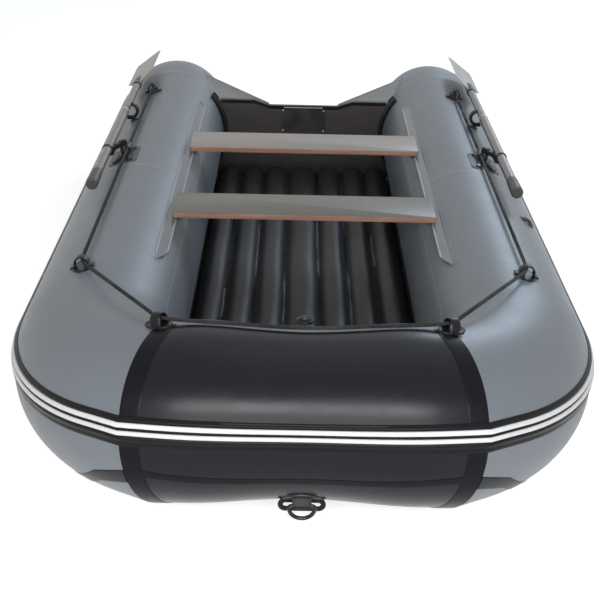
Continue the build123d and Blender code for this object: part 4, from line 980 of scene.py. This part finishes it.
# ---------------------------------------------------------------- oars
# Each is a light alloy tube in a brown-grey sleeve, with a moulded blade pushed on its outer end and
# a rubber grip on the other. It lies stowed along the tube in its lock and a hook.
shaft_up, shaft_outward = 0.054, 0.038
shaft_foot = pin_foot + shaft_up * pin_up - shaft_outward * pin_in
shaft_at = np.array([shaft_foot[0], 0, shaft_foot[2]])
grip_y, sleeve_end = (-0.318, -0.202), 0.472
blade_y, blade_lean = (0.835, 1.262), radians(36 + pin_angle - 90)
blade_shares, blade_halves = [0, 0.05, 0.26, 0.30, 1], [0.0160, 0.0185, 0.0650, 0.067, 0.067]
blade_in = pin_in * cos(blade_lean) + pin_up * sin(blade_lean)
blade_up = np.cross(aft, blade_in)
shaft_look = moulded("oar_tube", (0.175, 0.158, 0.140), 0.32, drift=0.35, metal=0.15)
blade_look = moulded("oar_blade", (0.42, 0.41, 0.38), 0.42, drift=0.2)
grip_look = moulded("grip_rubber", (0.045, 0.045, 0.046), 0.5, drift=0.3)
ring_look = moulded("ring_white", (0.75, 0.75, 0.74), 0.4)


def shaft_rows(profile):
    """Rows of a turned part of the oar: radius and station along the boat, swept round the shaft."""
    return turned_rows(shaft_at, aft, pin_in, profile, 32)


def blade_rows():
    """Rows of the blade: across each station the half width follows the outline, and the thickness
    thins to the edges, with a spine down the middle that fades and a shallow rib near each edge."""
    share = np.concatenate([[0, 0.004, 0.012], np.linspace(0.02, 0.98, 60), [0.99, 0.997, 1]])[:, None]
    length = blade_y[1] - blade_y[0]
    ease = np.clip(share / 0.02, 0, 1) ** 0.5
    half = np.interp(share, blade_shares, blade_halves) * (0.80 + 0.20 * ease)
    around = circle(64)[None, :]
    across = np.cos(around)
    tip = np.clip((share - 0.9) / 0.1, 0, 1)
    slant = 0.030 * (1 - across) / 2 * tip
    to_corner = np.clip((np.abs(across) - 0.85) / 0.15, 0, 1)
    round_off = 0.010 * (1 - np.sqrt(1 - to_corner**2)) * tip
    y = blade_y[0] + share * length - slant - round_off
    edge = np.clip(1 - np.abs(across) ** 8, 0.12, 1) * np.clip((1 - share) / 0.01, 0.3, 1) ** 0.5
    spine = 0.0125 * np.clip(1 - share / 0.80, 0, 1) ** 0.8 * np.exp(-((across * half / 0.011) ** 2))
    rib = 0.0010 * np.exp(-(((np.abs(across) - 0.80) / 0.06) ** 2)) * np.clip((share - 0.15) / 0.1, 0, 1)
    face = np.sign(np.sin(around) + 1e-9) * np.minimum(1, np.abs(np.sin(around)) * 4)
    thick = (0.0034 * edge + spine + rib) * face
    return shaft_at + (across * half)[..., None] * blade_in + thick[..., None] * blade_up + y[..., None] * aft


grip_stations = np.linspace(grip_y[1] - 0.004, grip_y[0] + 0.010, 60)
grip_radius = 0.0175 + 0.0030 * np.clip((grip_y[1] - grip_stations) / 0.12, 0, 1) ** 0.7
grip_radius = grip_radius + 0.0004 * np.cos((grip_stations - grip_y[0]) * 2 * pi / 0.008)
grip_profile = [(0.0168, grip_y[1]), (0.0175, grip_y[1] - 0.001), *zip(grip_radius, grip_stations)]
grip_end = [(0.0205, 0.004), (0.0185, 0.001), (0.0150, 0), (0.0125, 0)]
grip_end += [(0.0120, 0.0015), (0.0060, 0.0018), (0.0010, 0.0018)]
grip_profile += [(radius, grip_y[0] + inset) for radius, inset in grip_end]
sleeve_r, sleeve_bore = 0.0170, 0.0152
sleeve_profile = [(sleeve_bore, grip_y[1] + 0.0005), (sleeve_r, grip_y[1] + 0.001)]
sleeve_profile += [(sleeve_r, sleeve_end - 0.006), (sleeve_bore, sleeve_end - 0.0055)]
joint_steps = [(0.0153, 0.0058), (0.0178, 0.0055), (0.0180, 0.003), (0.0178, 0.0005), (0.0153, 0)]
joint_profile = [(radius, sleeve_end - short) for radius, short in joint_steps]
socket_profile = [(0.0155, 0.822), (0.0178, 0.821), (0.0182, 0.823), (0.0182, 0.832)]
socket_profile += [(0.0170, 0.8345), (0.0166, 0.850), (0.0160, 0.900), (0.0120, 0.935)]
oar_parts = (
    ("sleeve", shaft_rows(sleeve_profile), shaft_look, 40, "oar_tube", "oar_sleeve"),
    ("sleeve_joint", shaft_rows(joint_profile), ring_look, 40, "oar_tube", "oar_sleeve"),
    ("grip", shaft_rows(grip_profile), grip_look, 40, "grip_rubber", "oar_grip"),
    ("blade", blade_rows(), blade_look, 35, "oar_blade_grey", "oar_blade"),
    ("blade_socket", shaft_rows(socket_profile), fitting_look, 40, "oar_blade_grey", "oar_blade"),
)
for side, flip in sides:
    dress(f"{side}_oar_shaft", shaft_look)
    for name, rows, look, sharp, slot, plain in oar_parts:
        piece = surface(f"{side}_{name}", rows * flip, look, sharp=sharp)
        fit(piece, f"{side}_oar", slot, f"{side}_{plain}")

# ---------------------------------------------------------------- rope holders
# Six moulded rubber holders glued to the tubes: an oval foot under a bell-shaped strap, through
# which the lifeline passes.
holder_base, strap_wide, strap_thick = (0.080, 0.056, 0.004), 0.026, 0.004
crown_r, crown_up, strap_foot = 0.020, 0.0125, (0.031, 0.005)
rubber_look = moulded("holder_moulding", (0.008, 0.008, 0.009), 0.36, drift=0.3, specular=0.2)
rope_height, rope_angle, bow_rope_angle = 0.018, 78, radians(100)
stern_holder_y, mid_holder_y = 0.876, -0.868
bow_holder_up = cos(bow_rope_angle) * seam_out + sin(bow_rope_angle) * corner_up
bow_holder_at = seam_point + tube_r * bow_holder_up
rope_bow = bow_holder_at + rope_height * bow_holder_up
rope_mid = tube_place(mid_holder_y, rope_angle, rope_height)
half_way = (rope_bow - rope_mid) / np.linalg.norm(rope_bow - rope_mid) - cross
bow_holder_along = half_way - bow_holder_up * (half_way @ bow_holder_up)
bow_holder_along /= np.linalg.norm(bow_holder_along)
side_up = tube_out(rope_angle)
holder_frames = (
    (tube_place(stern_holder_y, rope_angle), aft, side_up),
    (tube_place(mid_holder_y, rope_angle), aft, side_up),
    (bow_holder_at, bow_holder_along, bow_holder_up),
)


def oval_rows(centre, along, up, size):
    """Rows of an oval foot: ellipses drawn in over a rounded rim, hollowed a little round its middle."""
    other = np.cross(up, along)
    turn = circle(48)
    share = np.array([1.0, 1.0, 0.985, 0.95, 0.88, 0.86, 0.5, 0.15])
    rise = np.concatenate([[-0.006], size[2] * np.array([0.4, 0.85, 1, 1, 0.8, 0.8, 0.8])])
    ring = size[0] / 2 * np.cos(turn)[:, None] * along + size[1] / 2 * np.sin(turn)[:, None] * other
    return centre + share[:, None, None] * ring + rise[:, None, None] * up


def bell_rows(centre, along, up):
    """Rows of the strap: a band that rises from one foot, turns over a round crown and comes down to
    flare into the other foot."""
    turn = np.linspace(0, pi, 21)
    crown = np.stack([crown_r * np.cos(turn), crown_up + crown_r * np.sin(turn)], -1)
    share = np.linspace(0, 1, 12)[:-1, None]
    start = np.array([strap_foot[0] + 0.002, strap_foot[1] - 0.001])
    knee = np.array([crown_r, strap_foot[1] - 0.001])
    flare = start * (1 - share) ** 2 + 2 * knee * share * (1 - share) + crown[0] * share**2
    path = np.concatenate([flare, crown, flare[::-1] * (-1, 1)])
    path = np.concatenate([path[:1] + (0.0015, -0.003), path, path[-1:] + (-0.0015, -0.003)])
    widen = 1 + 0.10 * np.clip(np.abs(path[:, 0]) / strap_foot[0] - 0.6, 0, 1)
    return band_rows(path, centre, np.cross(up, along), up, along, strap_wide, strap_thick, widen)


for side, flip in sides:
    for number, (centre, along, up) in enumerate(holder_frames):
        foot_rows = oval_rows(centre, along, up, holder_base) * flip
        foot = surface(f"{side}_holder_foot_{number}", foot_rows, rubber_look)
        strap_rows = bell_rows(centre, along, up) * flip
        strap = surface(f"{side}_holder_strap_{number}", strap_rows, rubber_look, sharp=50)
        for piece in (foot, strap):
            fit(piece, "hull", "holder_rubber", "rope_holders")

# ---------------------------------------------------------------- lifeline
# A laid cord of three strands, black, with a few yarns painted pale as painted highlights, drawn tight
# through the holders from one stern end round the bow to the other. Its ends stop just behind the stern
# holders.
crest_across, crest_angle, crest_gap = (0.280, 0.170, 0.060), radians(80), 0.0015
rope_tail, near = 0.022, 0.066
crest_up = np.array([0, cos(crest_angle), sin(crest_angle)])


def crest_spot(across):
    """Point where the line lies on the bow: up from the tube's middle by its radius, the line and a gap."""
    turn = asin(across / bow_arc)
    middle = bow_centre + bow_arc * (sin(turn) * cross - cos(turn) * inward)
    return middle + (swell(across) + rope_r + crest_gap) * crest_up


def between(start, end, distance):
    """Point this far from the start of a straight run towards its end."""
    return start + (end - start) / np.linalg.norm(end - start) * distance


rope_end = tube_place(stern_holder_y + rope_tail, rope_angle, rope_height)
port_run = [
    rope_end,
    between(rope_mid, rope_end, near),
    rope_mid,
    between(rope_mid, rope_bow, near),
    between(rope_bow, rope_mid, near),
    rope_bow,
    *[crest_spot(across) for across in crest_across],
]
whole_run = port_run + [point * mirror for point in reversed(port_run)]
route_curve = bpy.data.curves.new("lifeline_route", "CURVE")
route_curve.dimensions = "3D"
spline = route_curve.splines.new("NURBS")
spline.points.add(len(whole_run) - 1)
for spot, point in zip(spline.points, whole_run):
    spot.co = (*point, 1)
spline.order_u = 3
spline.use_endpoint_u = True
spline.resolution_u = 64
route_object = bpy.data.objects.new("lifeline_route", route_curve)
route_mesh = bpy.data.meshes.new_from_object(route_object)
route = np.array([vertex.co for vertex in route_mesh.vertices], float)
bpy.data.objects.remove(route_object)
bpy.data.meshes.remove(route_mesh)


def even_run(points, step):
    """The same path in equal steps, with its direction and two square directions at each."""
    lengths = np.concatenate([[0], np.cumsum(np.linalg.norm(np.diff(points, axis=0), axis=1))])
    keep = np.concatenate([[True], np.diff(lengths) > 1e-9])
    at = np.linspace(0, lengths[-1], int(lengths[-1] / step) + 1)
    path = np.stack([np.interp(at, lengths[keep], points[keep, axis]) for axis in range(3)], -1)
    ahead = np.gradient(path, axis=0)
    ahead /= np.linalg.norm(ahead, axis=1)[:, None]
    out = np.array([0, 0, 1.0]) - ahead * ahead[:, 2:]
    out /= np.linalg.norm(out, axis=1)[:, None]
    return at, path, ahead, out, np.cross(ahead, out)


lay_length, strand_r, lay_r = 0.030, 0.00275, 0.00285
rope_at, rope_path, ahead, rope_out, rope_side = even_run(route, lay_length / 14)


def strand_rows(start):
    """Rows of one strand: a round section whose middle winds round the route once in each lay length."""
    wind = 2 * pi * rope_at / lay_length + start
    middle_dir = np.cos(wind)[:, None] * rope_out + np.sin(wind)[:, None] * rope_side
    winding = np.cos(wind)[:, None] * rope_side - np.sin(wind)[:, None] * rope_out
    along = ahead + (2 * pi * lay_r / lay_length) * winding
    along /= np.linalg.norm(along, axis=1)[:, None]
    beside = np.cross(along, middle_dir)[:, None, :]
    turn = circle(9)[None, :, None]
    ring = np.cos(turn) * middle_dir[:, None, :] + np.sin(turn) * beside
    return rope_path[:, None, :] + (lay_r * middle_dir)[:, None, :] + strand_r * ring


# Cord: fine slanting yarns along each strand, black, with a yarn here and there painted pale as a painted
# highlight.
rope_look = bpy.data.materials.new("lifeline_cord")
rope_look.use_nodes = True
tree = rope_look.node_tree
shader = tree.nodes["Principled BSDF"]
lay = node(tree, "UVMap")
yarn_at = node(tree, "SeparateXYZ", {0: lay.outputs[0]})
yarn_slope, yarn_wide = -0.35, 0.0021
slant = maths(tree, "MULTIPLY_ADD", yarn_at.outputs["X"], yarn_slope, yarn_at.outputs["Y"])
ridges = maths(tree, "SINE", maths(tree, "MULTIPLY", slant, 2 * pi / yarn_wide))
yarn_number = maths(tree, "FLOOR", maths(tree, "MULTIPLY", slant, 1 / (2 * yarn_wide)))
# Yarns picked at random are painted pale: painted highlights of glinting fibres.
chance = node(tree, "TexWhiteNoise", {"W": yarn_number}, noise_dimensions="1D").outputs["Value"]
painted_glint = maths(tree, "GREATER_THAN", chance, 0.80)
colour = blend(tree, painted_glint, (0.007, 0.007, 0.008, 1), (0.22, 0.22, 0.215, 1))
relief = node(tree, "Bump", {"Height": ridges, "Strength": 0.5, "Distance": 0.0004})
tree.links.new(colour, shader.inputs["Base Color"])
tree.links.new(relief.outputs["Normal"], shader.inputs["Normal"])
shader.inputs["Roughness"].default_value = 0.6
shader.inputs["Specular IOR Level"].default_value = 0.15
for number in range(3):
    strand = surface(f"lifeline_strand_{number}", strand_rows(number * 2 * pi / 3), rope_look, sharp=180)
    fit(strand, "hull", "rope_black", "lifeline")

# ---------------------------------------------------------------- towing eye
# Low on the bow: an oval patch of cloth, a rubber tab folded round the bar of a steel ring, and
# behind them a flat moulded loop to carry the boat by.
tow_angle, tow_tilt = radians(-82.7), radians(46.7)
tow_out = np.array([0, -cos(tow_tilt), -sin(tow_tilt)])
tow_up = np.array([0, -sin(tow_tilt), cos(tow_tilt)])
tow_at = np.array([0, bow_y, bow_z]) + bow_r * tow_out
down = np.array([0, 0, -1.0])
wire_r, ring_half, ring_drop, bar_out = 0.0053, 0.0325, 0.038, 0.020
bar_at = tow_at + bar_out * tow_out
tow_patch = (0.050, 0.038)
tow_tab_wide, tow_tab_thick, tow_tab_bend = 0.050, 0.0032, 0.0072


def rounded_path(corners, radii, count=9):
    """Closed path through these corners, each turned by an arc of its radius."""
    corners = np.array(corners, float)
    parts = []
    for before, corner, after, radius in zip(np.roll(corners, 1, 0), corners, np.roll(corners, -1, 0), radii):
        one, two = before - corner, after - corner
        one, two = one / np.linalg.norm(one), two / np.linalg.norm(two)
        half = np.arccos(np.clip(one @ two, -1, 1)) / 2
        middle = corner + (one + two) / np.linalg.norm(one + two) * radius / sin(half)
        start, stop = corner + one * radius / np.tan(half), corner + two * radius / np.tan(half)
        share = np.linspace(0, 1, count)[:, None]
        spread = pi - 2 * half
        arc = (start - middle) * np.sin((1 - share) * spread) + (stop - middle) * np.sin(share * spread)
        parts.append(middle + arc / sin(spread))
    return np.concatenate(parts)


def loop_rows(path, centre, beside, up, section):
    """Rows round a closed flat loop: each section point lies outward in the loop's plane and square to it."""
    run = np.roll(path, -1, 0) - np.roll(path, 1, 0)
    run /= np.linalg.norm(run, axis=1)[:, None]
    out = np.stack([run[:, 1], -run[:, 0]], -1)
    flat = path[:, None, :] + section[None, :, 0, None] * out[:, None, :]
    square = np.cross(beside, up)
    rows = centre + flat[..., 0, None] * beside + flat[..., 1, None] * up + section[None, :, 1, None] * square
    return np.concatenate([rows, rows[:1]])


ring_corners = [(-ring_half, 0), (ring_half, 0), (ring_half, ring_drop), (-ring_half, ring_drop)]
turned = circle(16)
wire = wire_r * np.stack([np.cos(turned), np.sin(turned)], -1)
ring_path = rounded_path(ring_corners, (0.007, 0.007, 0.031, 0.031), 15)
ring_look = moulded("tow_ring_black", (0.006, 0.006, 0.006), 0.17, drift=0.15, specular=0.4)
ring_rows = loop_rows(ring_path, bar_at, cross, down, wire)
ring = surface("tow_ring_wire", ring_rows, ring_look, ends=False, sharp=180)
fit(ring, "tow_ring", "ring_black", "tow_ring")

share = np.array([1.0, 1.0, 0.985, 0.9, 0.5, 0.1])[:, None]
rise = np.array([-0.001, 0.001, 0.0022, 0.0024, 0.0026, 0.0026])[:, None]
turned = circle(64)
patch_turn = share * tow_patch[0] * np.cos(turned) / (bow_arc + bow_r * cos(tow_angle))
patch_angle = tow_angle + share * tow_patch[1] * np.sin(turned) / bow_r
tow_cloth = coated_cloth("tow_patch_cloth", (0.030, 0.031, 0.033), 0.36)
tab_turn = np.linspace(0, pi, 15)
tab_fold = tow_tab_bend * np.stack([np.cos(tab_turn), np.sin(tab_turn)], -1) + (0, bar_out)
tab_leg = np.array([(0.0100, -0.003), (0.0086, 0.004), (0.0076, 0.012)])
tab_path = np.concatenate([tab_leg, tab_fold, tab_leg[::-1] * (-1, 1)])
tab_widen = 0.90 + 0.22 * np.clip(1 - tab_path[:, 1] / bar_out, 0, 1)
tab_rows = band_rows(tab_path, tow_at, tow_up, tow_out, cross, tow_tab_wide, tow_tab_thick, tab_widen)
handle_half, handle_high, handle_bend, handle_z = 0.0545, 0.0130, 0.0130, 0.1405
handle_corners = np.array([(-1, -1), (1, -1), (1, 1), (-1, 1)]) * (handle_half, handle_high)
handle_path = rounded_path(handle_corners, (handle_bend * 0.999,) * 4, 11)
handle_turn = np.stack([np.cos(turned[::4]), np.sin(turned[::4])], -1)
handle_section = (0.0066, 0.0038) * np.sign(handle_turn) * np.abs(handle_turn) ** 0.6
handle_at = np.array([0, tow_at[1] + 0.008, handle_z])
for name, rows, look, closed in (
    ("tow_patch", bow_point(patch_turn, patch_angle, rise), tow_cloth, True),
    ("tow_tab", tab_rows, rubber_look, True),
    ("carrying_loop", loop_rows(handle_path, handle_at, cross, down, handle_section), rubber_look, False),
):
    fit(surface(name, rows, look, ends=closed, sharp=50), "hull", "holder_rubber", "tow_eye")

# ---------------------------------------------------------------- valves
# Screwed air valves: a flange welded to the cloth, a ring, and a cap with lobes for the fingers.
# One is on the port tube by the front bench, one behind each end of the transom, one in the floor.
valve_look = moulded("valve_plastic", (0.012, 0.012, 0.013), 0.30, drift=0.2)
flange_profile = [(0.0290, -0.004), (0.0290, 0.0012), (0.0283, 0.0022), (0.0250, 0.0028), (0.0240, 0.0022)]
flange_profile += [(0.0236, 0.0022), (0.0230, 0.0055), (0.0222, 0.0062), (0.0208, 0.0062)]
flange_profile += [(0.0202, 0.0050), (0.0180, 0.0046), (0.0010, 0.0046)]
cap_profile = [(0.0175, 0.004), (0.0178, 0.0076), (0.0166, 0.0088), (0.0120, 0.0090)]
cap_profile += [(0.0112, 0.0102), (0.0100, 0.0116), (0.0075, 0.0120), (0.0010, 0.0120)]
bow_valve_y, bow_valve_angle, side_valve_y, side_valve_angle = -0.359, 51, 1.230, 168
floor_valve_at, lobe_depth = np.array([0.010, -0.456, rib_top]), 0.09
bow_valve_at = tube_place(bow_valve_y, bow_valve_angle)
valve_spots = [("bow_valve", bow_valve_at, tube_out(bow_valve_angle), "air_valves")]
for side, flip in sides:
    centre, out = tube_place(side_valve_y, side_valve_angle) * flip, tube_out(side_valve_angle) * flip
    valve_spots.append((f"{side}_side_valve", centre, out, "air_valves"))
valve_spots.append(("floor_air_valve", floor_valve_at, -down, "floor_valve"))
lobes = lobe_depth * np.clip(np.cos(4 * circle(48)), 0, 1)[None, :, None]
for name, centre, out, plain in valve_spots:
    flange_rows = turned_rows(centre, out, aft, flange_profile, 48)
    cap_rows = turned_rows(centre, out, aft, cap_profile, 48)
    spoke = cap_rows - centre - ((cap_rows - centre) @ out)[..., None] * out
    for part, rows in (("flange", flange_rows), ("cap", cap_rows - spoke * lobes)):
        piece = surface(f"{name}_{part}", rows, valve_look, sharp=35)
        fit(piece, "hull", "fitting_black", plain)

# ---------------------------------------------------------------- studio
# A pale floor, a white world, four soft lamps and a camera ahead of the bow, for looking at the
# boat; none of it belongs to the boat.
white, span = (1, 1, 1, 1), 30
floor_mesh = bpy.data.meshes.new("studio_floor")
floor_corners = [(-span, -span, 0), (span, -span, 0), (span, span, 0), (-span, span, 0)]
floor_mesh.from_pydata(floor_corners, [], [(0, 1, 2, 3)])
studio_floor = bpy.data.objects.new("studio_floor", floor_mesh)
bpy.context.scene.collection.objects.link(studio_floor)
floor_look = bpy.data.materials.new("studio_floor")
floor_look.use_nodes = True
floor_mesh.materials.append(floor_look)


def seen(tree):
    """Whether a ray from the camera, a reflection or a clear piece looks at this: 1 if so, else 0."""
    ray = node(tree, "LightPath").outputs
    either = maths(tree, "MAXIMUM", ray["Is Camera Ray"], ray["Is Glossy Ray"])
    return maths(tree, "MAXIMUM", either, ray["Is Transmission Ray"])


tree = floor_look.node_tree
shader = tree.nodes["Principled BSDF"]
shader.inputs["Base Color"].default_value = (0.85, 0.85, 0.85, 1)
shader.inputs["Roughness"].default_value = 1
glow = maths(tree, "MULTIPLY", seen(tree), 0.68)
shader.inputs["Emission Color"].default_value = white
tree.links.new(glow, shader.inputs["Emission Strength"])

world = bpy.data.worlds.new("studio")
bpy.context.scene.world = world
world.use_nodes = True
tree = world.node_tree
strength = node(tree, "MapRange", {"Value": seen(tree), "To Min": 0.16, "To Max": 1.0})
tree.links.new(strength.outputs[0], tree.nodes["Background"].inputs["Strength"])
tree.nodes["Background"].inputs["Color"].default_value = white


def lamp(name, at, wide, high, watts, colour=(1, 1, 1)):
    """Rectangular area lamp at a place, aimed at the middle of the boat."""
    data = bpy.data.lights.new(name, "AREA")
    data.shape = "RECTANGLE"
    data.size = wide
    data.size_y = high
    data.energy = watts
    data.color = colour
    made = bpy.data.objects.new(name, data)
    bpy.context.scene.collection.objects.link(made)
    made.location = at
    made.rotation_euler = (Vector((0, 0, 0.3)) - Vector(at)).to_track_quat("-Z", "Y").to_euler()


lamp("front_high", (0.0, -5.7, 3.6), 4.4, 1.1, 205)
lamp("front_low", (0.0, -6.3, 2.1), 5.0, 1.3, 85)
lamp("port_back", (2.7, 4.9, 3.5), 2.4, 1.8, 110, (0.64, 0.81, 1.0))
lamp("overhead", (0.6, 0.2, 4.6), 3.0, 3.0, 9)

camera_data = bpy.data.cameras.new("camera")
camera_data.sensor_width = 36
camera_data.lens = 67.9
camera_data.clip_end = 100
camera = bpy.data.objects.new("camera", camera_data)
bpy.context.scene.collection.objects.link(camera)
yaw, pitch, roll = radians(0.502), radians(26.945), radians(1.381)
ahead = Vector((sin(yaw) * cos(pitch), cos(yaw) * cos(pitch), -sin(pitch)))
level_right = Vector((cos(yaw), -sin(yaw), 0))
level_up = level_right.cross(ahead)
right = level_right * cos(roll) + level_up * sin(roll)
up = level_up * cos(roll) - level_right * sin(roll)
turned = Matrix((right, up, -ahead)).transposed().to_4x4()
camera_at = (-0.0373, -3.811, 1.8992)
camera.matrix_world = Matrix.Translation(camera_at) @ turned
bpy.context.scene.camera = camera
bpy.context.scene.view_settings.view_transform = "Standard"
